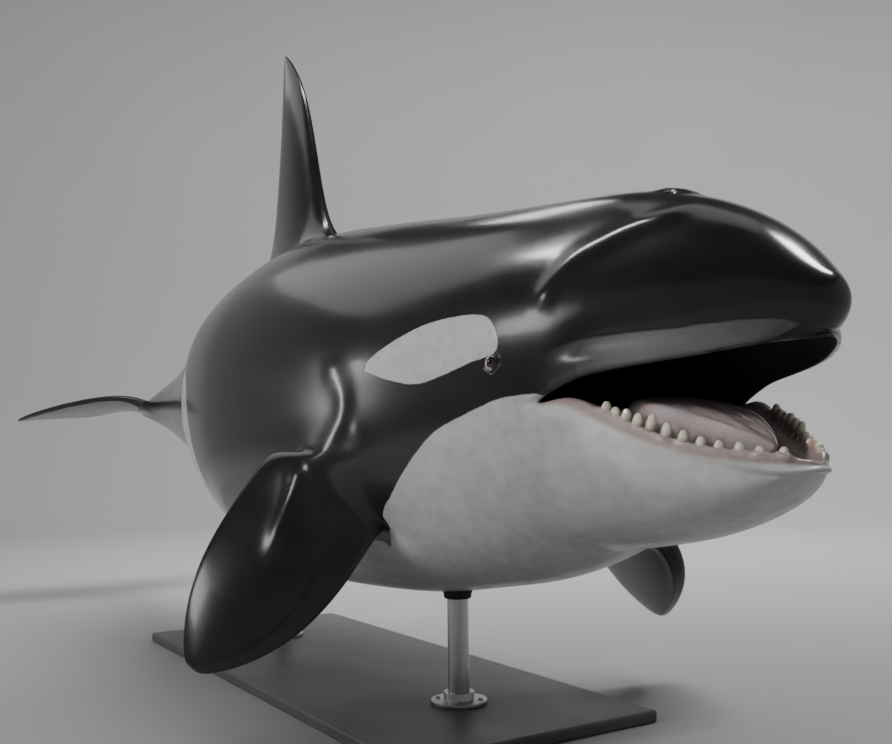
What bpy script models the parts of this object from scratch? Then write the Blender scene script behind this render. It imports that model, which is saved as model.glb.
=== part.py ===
"""Killer whale at life size, straight and level with its mouth open, on a plain two-rod display stand.

The whale faces +X with its back up (+Z) and its left side towards +Y.  One half of a coarse cage is lofted
from named profiles, mirrored and subdivided into the whole animal.  Teeth are joined on, and thin cuts then
part the body where a person would name its parts.  Along the body, s is the distance behind the snout tip.
"""

import math

import bmesh
import bpy
from mathutils import Matrix, Vector

# Driving sizes, metres and degrees
NOSE_X = 2.3
AXIS_Z = 1.15
SECTION_POWER = 2.15
CAGE_PULL = 1.016
GAP = 0.0003
FACET_SHARE = 0.62
MERGE_DISTANCE = 0.0001
SHARP_ANGLE = 35.0

# Side and top outlines of the closed-mouthed body: s, top, bottom, half width
BODY_STATIONS = (
    (0.025, 0.122, -0.130, 0.056),
    (0.06, 0.156, -0.196, 0.110),
    (0.12, 0.219, -0.268, 0.172),
    (0.20, 0.281, -0.338, 0.232),
    (0.30, 0.335, -0.408, 0.288),
    (0.42, 0.380, -0.472, 0.334),
    (0.55, 0.412, -0.536, 0.370),
    (0.80, 0.442, -0.606, 0.432),
    (1.20, 0.487, -0.688, 0.504),
    (1.70, 0.556, -0.758, 0.562),
    (2.30, 0.618, -0.772, 0.585),
    (2.90, 0.578, -0.650, 0.516),
    (3.35, 0.436, -0.460, 0.384),
    (3.90, 0.282, -0.296, 0.254),
    (4.40, 0.194, -0.184, 0.156),
    (4.80, 0.140, -0.104, 0.096),
    (5.12, 0.086, -0.054, 0.062),
    (5.30, 0.030, -0.020, 0.046),
)

# Mouth, closed: the upper lip's edge, the crease outside the lower lip and the lower gum's top edge, as s, height
CORNER_S = 0.62
LIP_LINE = (
    (0.02, -0.026), (0.08, -0.031), (0.20, -0.055), (0.42, -0.083), (0.49, -0.094), (0.555, -0.121), (0.62, -0.150),
)
LOWER_LIP_LINE = (
    (0.01, -0.117), (0.07, -0.140), (0.12, -0.153), (0.20, -0.162), (0.30, -0.162), (0.42, -0.157),
    (0.50, -0.152), (0.555, -0.148), (0.62, -0.150),
)
GUM_LINE = (
    (0.02, -0.100), (0.07, -0.104), (0.13, -0.117), (0.20, -0.129), (0.28, -0.132), (0.36, -0.123),
    (0.43, -0.110), (0.49, -0.090), (0.555, -0.096), (0.62, -0.135),
)
LIP_TUCK = 0.34
LIP_TUCK_FADE = 0.13
LIP_RETREAT = 0.020
LIP_RETREAT_FADE = 0.10
LIP_RETREAT_POWER = 6
LIP_THICK = 0.028
GUM_INSET = 0.075
LEAST_INSET_SHARE = 0.4
JAW_SET_BACK = 0.046
MELON_PUSH = 0.028
MELON_FADE = 0.13
MELON_SKEW = 1.5
JAW_HINGE_S = 0.603
JAW_HINGE_Z = -0.182
JAW_OPEN = 20.0
UPPER_EDGE_RISE = 0.003
UPPER_GUM_RISE = 0.045
PALATE_RISE = 0.085
LOWER_GUM_DROP = 0.030
FLOOR_DROP = 0.060
MOUTH_DEEPENS = (-0.02, 0.22)
SNOUT_MIDDLE_S = (0.017, 0.005, -0.003, -0.006, 0.006, 0.028)
CHIN_REACH = (0.022, 0.020, 0.014, 0.006)
THROAT_GIVE = {
    CORNER_S: (0.0, 0.52, 0.70, 0.74, 0.74),
    0.72: (0.0, 0.24, 0.35, 0.37, 0.37),
    0.84: (0.0, 0.06, 0.10, 0.12, 0.12),
}

# The pocket behind the mouth's corner: heights over the lip line, side then middle, and shares of the jaw's turn
CORNER_ROOF = (0.040, 0.075)
CORNER_FLOOR = (-0.040, -0.058)
CORNER_FLOOR_OPEN = 0.8
CORNER_SIDE_RISE = 0.004
POCKET_S = 0.66
POCKET_SIDE_SHARE = 0.62
POCKET_SIDE_OPEN = 0.3
POCKET_GUM_SHARE = 0.45
POCKET_ROOF = (0.025, 0.035)
POCKET_FLOOR = (-0.030, -0.040)
POCKET_FLOOR_OPEN = 0.4

# Rings of the cage, and its rows from the back's midline down to the belly's
MOUTH_RINGS = (0.025, 0.06, 0.12, 0.20, 0.30, 0.41, 0.49, 0.555)
BODY_RINGS = (
    CORNER_S, 0.72, 0.84, 1.02, 1.20, 1.34, 1.48, 1.62, 1.80, 2.08, 2.42, 2.60, 2.80, 3.00, 3.20,
    3.42, 3.72, 4.06, 4.40, 4.70, 4.90, 5.02, 5.14, 5.23, 5.27,
)
UPPER_ROWS = 6
LOWER_ROWS = 4
LAST_ROW = UPPER_ROWS + LOWER_ROWS
REST_LIP_ANGLE = -18.0
REST_LIP_FADE = 0.4
MOST_LIP_SHARE = 0.9
NEAR_DORSAL = (2.0, 2.5, 3.2, 3.8)
DORSAL_ROW_ANGLES = ((1, 80.5), (2, 63.0))
NEAR_FLIPPER = (0.9, 1.3, 1.65, 2.2)
FLIPPER_ROW_ANGLES = ((6, -14.0), (7, -29.0), (8, -45.0), (9, -67.0))
TAIL_CAP_REACH = 0.012

# Dorsal fin: s and height above the body's axis of its front and rear edges, root to tip
DORSAL_RINGS = (2.42, 2.60, 2.80, 3.00, 3.20)
DORSAL_FRONT = (
    (2.46, 0.66), (2.55, 0.78), (2.62, 0.98), (2.69, 1.20), (2.77, 1.385), (2.875, 1.53), (2.975, 1.616),
)
DORSAL_REAR = (
    (3.22, 0.63), (3.145, 0.75), (3.105, 0.93), (3.065, 1.16), (3.04, 1.36), (3.025, 1.52), (3.010, 1.626),
)
DORSAL_HALF_THICK = (0.085, 0.056, 0.045, 0.036, 0.027, 0.018, 0.010)
DORSAL_SHARES = (0.10, 0.32, 0.56, 0.78, 0.94)
DORSAL_SWELL = (0.62, 1.0, 0.86, 0.55, 0.24)
DORSAL_TIP_RISE = 0.004

# Flipper: a paddle from the root's middle out along its span
FLIPPER_RINGS = (1.20, 1.34, 1.48, 1.62)
FLIPPER_ROOT = (1.487, 0.469, -0.380)
FLIPPER_SPAN = (0.077, 0.661, -0.746)
FLIPPER_CHORD = (0.766, 0.439, 0.469)
FLIPPER_LENGTH = 0.70
FLIPPER_HALF_CHORD = 0.280
FLIPPER_SET_BACK = 0.010
FLIPPER_TIP_POWERS = (3.4, 0.9)
LEFT_FLIPPER_TWIST = -41.0
LEFT_FLIPPER_TWIST_REACH = (0.02, 0.30)
LEFT_FLIPPER_FORWARD = (0.114, -0.108)
LEFT_FLIPPER_FORWARD_REACH = (0.0, 0.28, 0.28, 0.75)
LEFT_FLIPPER_DROP = 0.022
FLIPPER_TWIST_RADIUS = 0.42
FLIPPER_SECTIONS = (0.0, 0.16, 0.36, 0.56, 0.73, 0.87, 0.965)
FLIPPER_HALF_THICK = (0.110, 0.066, 0.052, 0.042, 0.032, 0.023, 0.014)
FLIPPER_ROOT_BEND = 0.065
FLIPPER_SHOULDER = 0.030
FLIPPER_SWELL = (0.70, 1.0, 0.72, 0.30)

# Shares of the chord at which a paddle's section has its points
PADDLE_SHARES = (0.13, 0.40, 0.68, 0.90)

# Flukes: half span, and s of the front and rear edges from root to tip
FLUKE_RINGS = (4.90, 5.02, 5.14, 5.23)
FLUKE_REACH = (0.13, 0.24, 0.38, 0.52, 0.64, 0.72, 0.765)
FLUKE_FRONT = (4.97, 5.01, 5.075, 5.16, 5.27, 5.365, 5.44)
FLUKE_REAR = (5.355, 5.41, 5.43, 5.44, 5.455, 5.475, 5.49)
FLUKE_HALF_THICK = (0.046, 0.036, 0.029, 0.022, 0.015, 0.010, 0.006)
FLUKE_PITCH = 20.0
FLUKE_PITCH_REACH = (0.05, 0.3)
FLUKE_PIVOT_S = 5.2
FLUKE_RISE = 0.044
FLUKE_SWELL = (0.80, 1.0, 0.66, 0.26)

# Lower teeth
TEETH_S = (0.076, 0.112, 0.146, 0.180, 0.214, 0.249, 0.285, 0.320, 0.352, 0.381, 0.409, 0.435)
TOOTH_INSET = 0.042
TOOTH_SINK = 0.030
TOOTH_RISE = (0.017, 0.021, 0.022, 0.025, 0.024, 0.031, 0.040, 0.042, 0.035, 0.027, 0.022, 0.019)
TOOTH_RADIUS = 0.014
TOOTH_TAPER = 0.45
TOOTH_SIDES = 6

# Eyes
EYE_S = 0.730
EYE_Z = -0.037
EYE_RADIUS = 0.030
EYE_DEPTH = 0.022
EYE_SEGMENTS = 12
EYE_RINGS = 8

# Tongue: s, half width, underside and top in the closed jaw
TONGUE_SECTIONS = (
    (0.202, 0.024, -0.136, -0.092),
    (0.222, 0.052, -0.156, -0.080),
    (0.255, 0.084, -0.176, -0.074),
    (0.32, 0.128, -0.200, -0.074),
    (0.40, 0.160, -0.212, -0.082),
    (0.50, 0.150, -0.208, -0.096),
    (0.58, 0.110, -0.196, -0.112),
)
TONGUE_SIDES = 8
TONGUE_TIP_S = 0.190

# Stand
BASE_LENGTH = 2.4
BASE_WIDTH = 0.95
BASE_HEIGHT = 0.04
BASE_BEVEL = 0.008
ROD_RADIUS = 0.036
ROD_X = 0.75
ROD_SINK = 0.07
ROD_SIDES = 24

# Where the body is parted
JAW_CUT = (
    (-0.25, -0.130), (0.30, -0.118), (0.42, -0.108), (0.50, -0.109), (0.54, -0.117), (0.62, -0.150),
    (0.70, -0.168), (0.755, -0.22), (0.80, -0.42), (0.86, -0.95),
)
HEAD_REAR_S = 1.12
TRUNK_REAR_S = 3.75
STOCK_REAR_S = 4.93
DORSAL_CUT = ((2.2, 0.682), (3.6, 0.578))
DORSAL_CUT_HALF_WIDTH = 0.2
FLIPPER_CUT_REACH = 0.11
FLIPPER_CUT_SIZE = (0.80, 0.32)
CUT_REACH = 1.6

# Colours and roughness
BLACK_SKIN = ((0.012, 0.013, 0.015), 0.28)
WHITE_SKIN = ((0.62, 0.62, 0.60), 0.32)
TONGUE_SKIN = ((0.34, 0.25, 0.25), 0.38)
EYE_FINISH = ((0.020, 0.014, 0.010), 0.10)
STAND_FINISH = ((0.075, 0.075, 0.080), 0.45)
ROD_FINISH = ((0.50, 0.50, 0.52), 0.30)
PARTS = {
    "head": BLACK_SKIN,
    "lower_jaw": WHITE_SKIN,
    "trunk": BLACK_SKIN,
    "tail_stock": BLACK_SKIN,
    "fluke_left": BLACK_SKIN,
    "fluke_right": BLACK_SKIN,
    "dorsal_fin": BLACK_SKIN,
    "flipper_left": BLACK_SKIN,
    "flipper_right": BLACK_SKIN,
    "tongue": TONGUE_SKIN,
    "eye_left": EYE_FINISH,
    "eye_right": EYE_FINISH,
    "stand_base": STAND_FINISH,
    "stand_rod_front": ROD_FINISH,
    "stand_rod_rear": ROD_FINISH,
}


def smooth_curve(knots):
    """A monotone cubic through (x, y) knots, held level past its ends."""
    xs = [k[0] for k in knots]
    ys = [k[1] for k in knots]
    steps = [(ys[i + 1] - ys[i]) / (xs[i + 1] - xs[i]) for i in range(len(xs) - 1)]
    slopes = [steps[0]]
    for left, right in zip(steps, steps[1:]):
        slopes.append(0.0 if left * right <= 0 else 2 * left * right / (left + right))
    slopes.append(steps[-1])

    def value(x):
        x = min(max(x, xs[0]), xs[-1])
        i = max(k for k in range(len(xs) - 1) if xs[k] <= x)
        span = xs[i + 1] - xs[i]
        t = (x - xs[i]) / span
        rise = ys[i] * (1 + 2 * t) * (1 - t) ** 2 + ys[i + 1] * (3 - 2 * t) * t ** 2
        return rise + span * (slopes[i] * t * (1 - t) ** 2 - slopes[i + 1] * (1 - t) * t ** 2)

    return value


top_of = smooth_curve([(row[0], row[1]) for row in BODY_STATIONS])
bottom_of = smooth_curve([(row[0], row[2]) for row in BODY_STATIONS])
half_width_of = smooth_curve([(row[0], row[3]) for row in BODY_STATIONS])
lip_height_of = smooth_curve(LIP_LINE)
lower_lip_height_of = smooth_curve(LOWER_LIP_LINE)
gum_height_of = smooth_curve(GUM_LINE)


def world(s, y, z):
    return Vector((NOSE_X - s, y, AXIS_Z + z))


def ease_in_and_out(value, low, full, fade, end):
    """0 outside low to end and 1 from full to fade."""
    return ease(value, low, full) * (1 - ease(value, fade, end))


def ease(value, low, high):
    """0 below low, 1 above high, with a smooth step between."""
    t = min(max((value - low) / (high - low), 0.0), 1.0)
    return t * t * (3 - 2 * t)


def lip_angle(s):
    """How far round the section the lip line lies, from +90 at the back to -90 at the belly."""
    middle = (top_of(s) + bottom_of(s)) / 2
    half = (top_of(s) - bottom_of(s)) / 2
    share = min(max((lip_height_of(s) - middle) / half, -MOST_LIP_SHARE), MOST_LIP_SHARE)
    mouth = math.degrees(math.asin(math.copysign(abs(share) ** (SECTION_POWER / 2), share)))
    rest = ease(s, CORNER_S, CORNER_S + REST_LIP_FADE)
    return mouth * (1 - rest) + REST_LIP_ANGLE * rest


def row_angles(s):
    """The angle of every row at s; rows gather at the roots of the fins."""
    lip = lip_angle(s)
    angles = [90 + (lip - 90) * row / UPPER_ROWS for row in range(UPPER_ROWS + 1)]
    angles += [lip - (90 + lip) * row / LOWER_ROWS for row in range(1, LOWER_ROWS + 1)]
    near_dorsal = ease_in_and_out(s, *NEAR_DORSAL)
    near_flipper = ease_in_and_out(s, *NEAR_FLIPPER)
    for row, angle in DORSAL_ROW_ANGLES:
        angles[row] += (angle - angles[row]) * near_dorsal
    for row, angle in FLIPPER_ROW_ANGLES:
        angles[row] += (angle - angles[row]) * near_flipper
    return angles


def section_point(s, angle):
    """A point of the closed body: s, distance from the midplane and height from the axis."""
    middle = (top_of(s) + bottom_of(s)) / 2
    half = (top_of(s) - bottom_of(s)) / 2 * CAGE_PULL
    across = math.cos(math.radians(angle))
    up = math.sin(math.radians(angle))
    y = half_width_of(s) * CAGE_PULL * abs(across) ** (2 / SECTION_POWER)
    z = middle + half * math.copysign(abs(up) ** (2 / SECTION_POWER), up)
    return s, y if abs(angle) < 90 else 0.0, z


def open_jaw(point, share=1.0):
    """Turns a point of the closed jaw down about the hinge."""
    s, y, z = point
    turn = math.radians(JAW_OPEN * share)
    ds, dz = s - JAW_HINGE_S, z - JAW_HINGE_Z
    s = JAW_HINGE_S + ds * math.cos(turn) - dz * math.sin(turn)
    return s, y, JAW_HINGE_Z + ds * math.sin(turn) + dz * math.cos(turn)


def melon_push(s, row):
    """How far the forehead bulges forward of a plain section, and the lip below it lies back."""
    share = row / UPPER_ROWS
    forward = MELON_PUSH * math.sin(math.pi * share ** MELON_SKEW) * math.exp(-s / MELON_FADE)
    return forward - LIP_RETREAT * share ** LIP_RETREAT_POWER * math.exp(-s / LIP_RETREAT_FADE)


def lip_tuck(s):
    """The share by which both lips draw in at the snout."""
    return LIP_TUCK * math.exp(-s / LIP_TUCK_FADE)


def lip_half_width(s):
    return section_point(s, lip_angle(s))[1] * (1 - lip_tuck(s))


def jaw_set_back(s):
    """How far the lower jaw lies behind the upper one."""
    return JAW_SET_BACK * (1 - s / CORNER_S)


def lip_inset(y, inset):
    """A row inside the mouth, a fixed way in from the lip but never across the midplane."""
    return max(y - inset, y * LEAST_INSET_SHARE * (1 - inset))


class Cage:
    """Points and faces of the left half."""

    def __init__(self):
        self.bm = bmesh.new()

    def point(self, place):
        return self.bm.verts.new(world(*place))

    def points(self, places):
        return [self.point(place) for place in places]

    def face(self, *corners):
        self.bm.faces.new(corners)

    def strip(self, front, rear, skip=()):
        for i in range(len(front) - 1):
            if i not in skip:
                self.face(front[i], front[i + 1], rear[i + 1], rear[i])


def cage_place(vert):
    return NOSE_X - vert.co.x, vert.co.y, vert.co.z - AXIS_Z


def mouth_depth(s):
    """The share of its full depth that the mouth's inside has, shallow behind the front lips."""
    return ease(s, *MOUTH_DEEPENS)


def upper_mouth_rings(cage):
    """The upper jaw from the snout back: skin rows, then the lip's inner edge, gum and palate."""
    rings = []
    for ring_s in MOUTH_RINGS:
        skin = [section_point(ring_s, angle) for angle in row_angles(ring_s)[: UPPER_ROWS + 1]]
        skin = [
            (s - melon_push(s, row), y * (1 - lip_tuck(s) * (row / UPPER_ROWS) ** 3), z)
            for row, (s, y, z) in enumerate(skin)
        ]
        s, y, z = skin[-1]
        inside = [
            (s, lip_inset(y, LIP_THICK), z + UPPER_EDGE_RISE),
            (s, lip_inset(y, GUM_INSET), z + UPPER_GUM_RISE * mouth_depth(s)),
            (s, 0.0, z + PALATE_RISE * mouth_depth(s)),
        ]
        rings.append((cage.points(skin), cage.points(inside)))
    return rings


def lower_mouth_rings(cage):
    """The lower jaw, opened: skin rows from the lip's crease to the chin, then gum edge, gum foot and floor."""
    rings = []
    for s in MOUTH_RINGS:
        skin = [section_point(s, angle) for angle in row_angles(s)[UPPER_ROWS:]]
        y, z = lip_half_width(s), lower_lip_height_of(s)
        chin_z = skin[-1][2]
        share = (z - chin_z) / (skin[0][2] - chin_z)
        skin = [(s, y, z)] + [(s, across, chin_z + (up - chin_z) * share) for _, across, up in skin[1:]]
        gum_z = gum_height_of(s)
        inside = [
            (s, lip_inset(y, LIP_THICK), gum_z),
            (s, lip_inset(y, GUM_INSET), gum_z - LOWER_GUM_DROP * mouth_depth(s)),
            (s, 0.0, gum_z - FLOOR_DROP * mouth_depth(s)),
        ]
        places = [open_jaw((p[0] + jaw_set_back(s), p[1], p[2])) for p in skin + inside]
        verts = cage.points(places)
        rings.append((verts[: LOWER_ROWS + 1], verts[LOWER_ROWS + 1:]))
    return rings


def snout_cap(cage, rings):
    """Closes the front of the upper jaw with points down its midline."""
    skin, inside = rings[0]
    middle = [None]
    for s, vert in zip(SNOUT_MIDDLE_S, skin[1:]):
        middle.append(cage.point((s, 0.0, vert.co.z - AXIS_Z)))
    cage.face(skin[0], skin[1], middle[1])
    for row in range(1, UPPER_ROWS):
        cage.face(skin[row], skin[row + 1], middle[row + 1], middle[row])
    cage.face(skin[UPPER_ROWS], *inside, middle[UPPER_ROWS])


def chin_cap(cage, rings):
    """Closes the front of the lower jaw the same way."""
    skin, inside = rings[0]
    middle = []
    for (s, _, z), reach in zip(map(cage_place, skin), CHIN_REACH):
        middle.append(cage.point((s - reach, 0.0, z)))
    cage.face(skin[0], *inside, middle[0])
    for row in range(LOWER_ROWS - 1):
        cage.face(skin[row], skin[row + 1], middle[row + 1], middle[row])
    cage.face(skin[LOWER_ROWS - 1], skin[LOWER_ROWS], middle[LOWER_ROWS - 1])


def body_rings(cage):
    """Whole rings from the mouth's corner to the flukes; the throat gives as the jaw opens."""
    rings = []
    for s in BODY_RINGS:
        places = [section_point(s, angle) for angle in row_angles(s)]
        for i, share in enumerate(THROAT_GIVE.get(s, ())):
            places[UPPER_ROWS + i] = open_jaw(places[UPPER_ROWS + i], share)
        rings.append(cage.points(places))
    return rings


def mouth_pocket(cage, corner, upper, lower):
    """The inside of the mouth behind its corner, closed at the back."""
    _, y, z = section_point(CORNER_S, lip_angle(CORNER_S))
    gum, narrow = lip_inset(y, GUM_INSET), y * POCKET_GUM_SHARE
    side = cage.point((CORNER_S, lip_inset(y, LIP_THICK), z + CORNER_SIDE_RISE))
    roof = [cage.point((CORNER_S, out, z + rise)) for out, rise in zip((gum, 0.0), CORNER_ROOF)]
    floor = [
        cage.point(open_jaw((CORNER_S, out, z + rise), CORNER_FLOOR_OPEN))
        for out, rise in zip((gum, 0.0), CORNER_FLOOR)
    ]
    back_side = cage.point(open_jaw((POCKET_S, y * POCKET_SIDE_SHARE, z), POCKET_SIDE_OPEN))
    back_roof = [cage.point((POCKET_S, out, z + rise)) for out, rise in zip((narrow, 0.0), POCKET_ROOF)]
    back_floor = [
        cage.point(open_jaw((POCKET_S, out, z + rise), POCKET_FLOOR_OPEN))
        for out, rise in zip((narrow, 0.0), POCKET_FLOOR)
    ]
    cage.strip([upper[0][-1]] + upper[1], [corner, side] + roof)
    cage.strip([lower[0][0]] + lower[1], [corner, side] + floor)
    cage.strip([side] + roof, [back_side] + back_roof)
    cage.strip([side] + floor, [back_side] + back_floor)
    cage.face(back_side, back_roof[0], back_floor[0])
    cage.face(back_roof[0], back_roof[1], back_floor[1], back_floor[0])


def tail_cap(cage, ring):
    middle = [cage.point((s + TAIL_CAP_REACH, 0.0, z)) for s, _, z in map(cage_place, ring[1:LAST_ROW])]
    cage.face(ring[0], ring[1], middle[0])
    for row in range(1, LAST_ROW - 1):
        cage.face(ring[row], ring[row + 1], middle[row], middle[row - 1])
    cage.face(ring[LAST_ROW - 1], ring[LAST_ROW], middle[-1])


def grow_dorsal_fin(cage, rings):
    """Levels of the fin's half section, each from the front edge round the side to the rear edge."""
    below = [rings[0][0]] + [ring[1] for ring in rings] + [rings[-1][0]]
    for front, rear, thick in zip(DORSAL_FRONT, DORSAL_REAR, DORSAL_HALF_THICK):
        places = [(front[0], 0.0, front[1])]
        for share, fat in zip(DORSAL_SHARES, DORSAL_SWELL):
            s = front[0] + (rear[0] - front[0]) * share
            places.append((s, thick * fat, front[1] + (rear[1] - front[1]) * share))
        places.append((rear[0], 0.0, rear[1]))
        level = cage.points(places)
        cage.strip(below, level)
        below = level
    middle = [cage.point((s, 0.0, z + DORSAL_TIP_RISE)) for s, _, z in map(cage_place, below[2:5])]
    cage.face(below[0], below[1], below[2], middle[0])
    cage.face(middle[0], below[2], below[3], middle[1])
    cage.face(middle[1], below[3], below[4], middle[2])
    cage.face(middle[2], below[4], below[5], below[6])


def paddle(cage, root, sections, swell):
    """A limb of ring sections round a front and a rear edge; root and sections run round it in one order."""
    below = root
    for front, rear, out, thick in sections:
        front, rear, out = Vector(front), Vector(rear), Vector(out)
        upper = [front.lerp(rear, share) + out * thick * fat for share, fat in zip(PADDLE_SHARES, swell)]
        lower = [front.lerp(rear, share) - out * thick * fat for share, fat in zip(PADDLE_SHARES, swell)]
        level = cage.points([front] + upper + [rear] + lower[::-1])
        cage.strip(below + below[:1], level + level[:1])
        below = level
    inner = [cage.point(Vector(cage_place(below[k])).lerp(cage_place(below[10 - k]), 0.5)) for k in (2, 3)]
    cage.face(below[0], below[1], below[2], inner[0])
    cage.face(inner[0], below[2], below[3], inner[1])
    cage.face(inner[1], below[3], below[4], below[5])
    cage.face(below[0], inner[0], below[8], below[9])
    cage.face(inner[0], inner[1], below[7], below[8])
    cage.face(inner[1], below[5], below[6], below[7])


def grow_flipper(cage, rings):
    root_middle, span, chord = Vector(FLIPPER_ROOT), Vector(FLIPPER_SPAN).normalized(), Vector(FLIPPER_CHORD)
    chord = (chord - span * chord.dot(span)).normalized()
    out = chord.cross(span).normalized()
    if out.z < 0:
        out = -out
    sections = []
    taper, blunt = FLIPPER_TIP_POWERS
    for share, thick in zip(FLIPPER_SECTIONS, FLIPPER_HALF_THICK):
        half = FLIPPER_HALF_CHORD * (1 - share ** taper) ** blunt
        middle = root_middle + span * FLIPPER_LENGTH * share + chord * FLIPPER_SET_BACK
        front = middle - chord * (half - FLIPPER_ROOT_BEND * (1 - share) ** 2)
        rear = middle + chord * (half + FLIPPER_SHOULDER * (1 - share) ** 4)
        sections.append((front, rear, out, thick))
    a, b, c, d = rings
    root = [a[8], a[7], a[6], b[6], c[6], d[6], d[7], d[8], c[8], b[8]]
    paddle(cage, root, sections, FLIPPER_SWELL)


def grow_fluke(cage, rings):
    sections = []
    for reach, front, rear, thick in zip(FLUKE_REACH, FLUKE_FRONT, FLUKE_REAR, FLUKE_HALF_THICK):
        pitch = math.radians(FLUKE_PITCH) * ease(reach, *FLUKE_PITCH_REACH)
        edges = []
        for s in (front, rear):
            arm = s - FLUKE_PIVOT_S
            edges.append((FLUKE_PIVOT_S + arm * math.cos(pitch), reach, FLUKE_RISE - arm * math.sin(pitch)))
        sections.append((*edges, (math.sin(pitch), 0.0, math.cos(pitch)), thick))
    a, b, c, d = rings
    root = [a[5], a[4], b[4], c[4], d[4], d[5], d[6], c[6], b[6], a[6]]
    paddle(cage, root, sections, FLUKE_SWELL)


def half_cage():
    """Every face of the left half, open at the midplane."""
    cage = Cage()
    upper = upper_mouth_rings(cage)
    lower = lower_mouth_rings(cage)
    rings = body_rings(cage)
    for (skin_a, inside_a), (skin_b, inside_b) in zip(upper, upper[1:]):
        cage.strip(skin_a + inside_a, skin_b + inside_b)
    for (skin_a, inside_a), (skin_b, inside_b) in zip(lower, lower[1:]):
        cage.strip(skin_a, skin_b)
        cage.strip([skin_a[0]] + inside_a, [skin_b[0]] + inside_b)
    snout_cap(cage, upper)
    chin_cap(cage, lower)
    cage.strip(upper[-1][0], rings[0][: UPPER_ROWS + 1])
    cage.strip(lower[-1][0], rings[0][UPPER_ROWS:])
    mouth_pocket(cage, rings[0][UPPER_ROWS], upper[-1], lower[-1])
    ring_at = dict(zip(BODY_RINGS, rings))
    for (s, front), rear in zip(ring_at.items(), rings[1:]):
        skip = []
        if s in DORSAL_RINGS[:-1]:
            skip = [0]
        if s in FLIPPER_RINGS[:-1]:
            skip = [6, 7]
        if s in FLUKE_RINGS[:-1]:
            skip = [4, 5]
        cage.strip(front, rear, skip)
    grow_dorsal_fin(cage, [ring_at[s] for s in DORSAL_RINGS])
    grow_flipper(cage, [ring_at[s] for s in FLIPPER_RINGS])
    grow_fluke(cage, [ring_at[s] for s in FLUKE_RINGS])
    tail_cap(cage, rings[-1])
    return cage.bm


def add_object(name, bm):
    mesh = bpy.data.meshes.new(name)
    bm.to_mesh(mesh)
    bm.free()
    return add_mesh_object(name, mesh)


def add_mesh_object(name, mesh):
    obj = bpy.data.objects.new(name, mesh)
    bpy.context.scene.collection.objects.link(obj)
    return obj


def settled(obj):
    """A new object holding the old one's evaluated mesh; the old one is removed."""
    bpy.context.view_layer.update()
    name = obj.name
    mesh = bpy.data.meshes.new_from_object(obj.evaluated_get(bpy.context.evaluated_depsgraph_get()))
    mesh.transform(obj.matrix_world)
    bpy.data.objects.remove(obj)
    return add_mesh_object(name, mesh)


def face_outwards(obj):
    """Drops points that no face uses and turns the faces of one closed body outwards."""
    bm = bmesh.new()
    bm.from_mesh(obj.data)
    bmesh.ops.delete(bm, geom=[vert for vert in bm.verts if not vert.link_faces], context="VERTS")
    bmesh.ops.recalc_face_normals(bm, faces=bm.faces)
    bm.to_mesh(obj.data)
    bm.free()
    return obj


def round_off(obj):
    step = obj.modifiers.new("round", "SUBSURF")
    step.levels = 1
    step.render_levels = 1


def whole_animal():
    """The body as one closed mesh: half a cage, mirrored, subdivided and thinned where it is flat."""
    body = add_object("body", half_cage())
    mirror = body.modifiers.new("mirror", "MIRROR")
    mirror.use_axis = (False, True, False)
    mirror.merge_threshold = MERGE_DISTANCE
    round_off(body)
    thin_out = body.modifiers.new("thin_out", "DECIMATE")
    thin_out.ratio = FACET_SHARE
    thin_out.use_symmetry = True
    thin_out.symmetry_axis = "Y"
    body = face_outwards(settled(body))
    twist_left_flipper(body.data)
    return body


def flipper_frame(side):
    """The flipper's root middle, its chord, thickness and span directions in the world; side is 1 or -1."""
    span = Vector((-FLIPPER_SPAN[0], side * FLIPPER_SPAN[1], FLIPPER_SPAN[2])).normalized()
    chord = Vector((-FLIPPER_CHORD[0], side * FLIPPER_CHORD[1], FLIPPER_CHORD[2]))
    chord = (chord - span * chord.dot(span)).normalized()
    root = world(FLIPPER_ROOT[0], side * FLIPPER_ROOT[1], FLIPPER_ROOT[2])
    return root, chord, span.cross(chord), span


def twist_left_flipper(mesh):
    """Turns the left flipper about its span and shifts it, more with every step away from the body."""
    root, _, _, span = flipper_frame(1)
    root_shift, tip_shift = LEFT_FLIPPER_FORWARD
    start, full, tip_start, tip_full = LEFT_FLIPPER_FORWARD_REACH
    for vert in mesh.vertices:
        arm = vert.co - root
        out = arm.dot(span)
        if vert.co.y > 0 and (arm - span * out).length < FLIPPER_TWIST_RADIUS:
            turn = math.radians(LEFT_FLIPPER_TWIST) * ease(out, *LEFT_FLIPPER_TWIST_REACH)
            at_root, at_tip = ease(out, start, full), ease(out, tip_start, tip_full)
            shift = Vector((root_shift * at_root + tip_shift * at_tip, 0, -LEFT_FLIPPER_DROP * at_tip))
            vert.co = root + Matrix.Rotation(turn, 3, span) @ arm + shift


def boolean(body, other, operation):
    """The body after one Boolean with the other object, which is used up."""
    step = body.modifiers.new("boolean", "BOOLEAN")
    step.operation = operation
    step.solver = "EXACT"
    step.object = other
    body = settled(body)
    bpy.data.objects.remove(other)
    return body


def slab(centre, size, turn=Matrix.Identity(3)):
    """A closed box for cutting."""
    bm = bmesh.new()
    place = Matrix.Translation(centre) @ turn.to_4x4() @ Matrix.Diagonal((*size, 1.0))
    bmesh.ops.create_cube(bm, size=1.0, matrix=place)
    return add_object("slab", bm)


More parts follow.
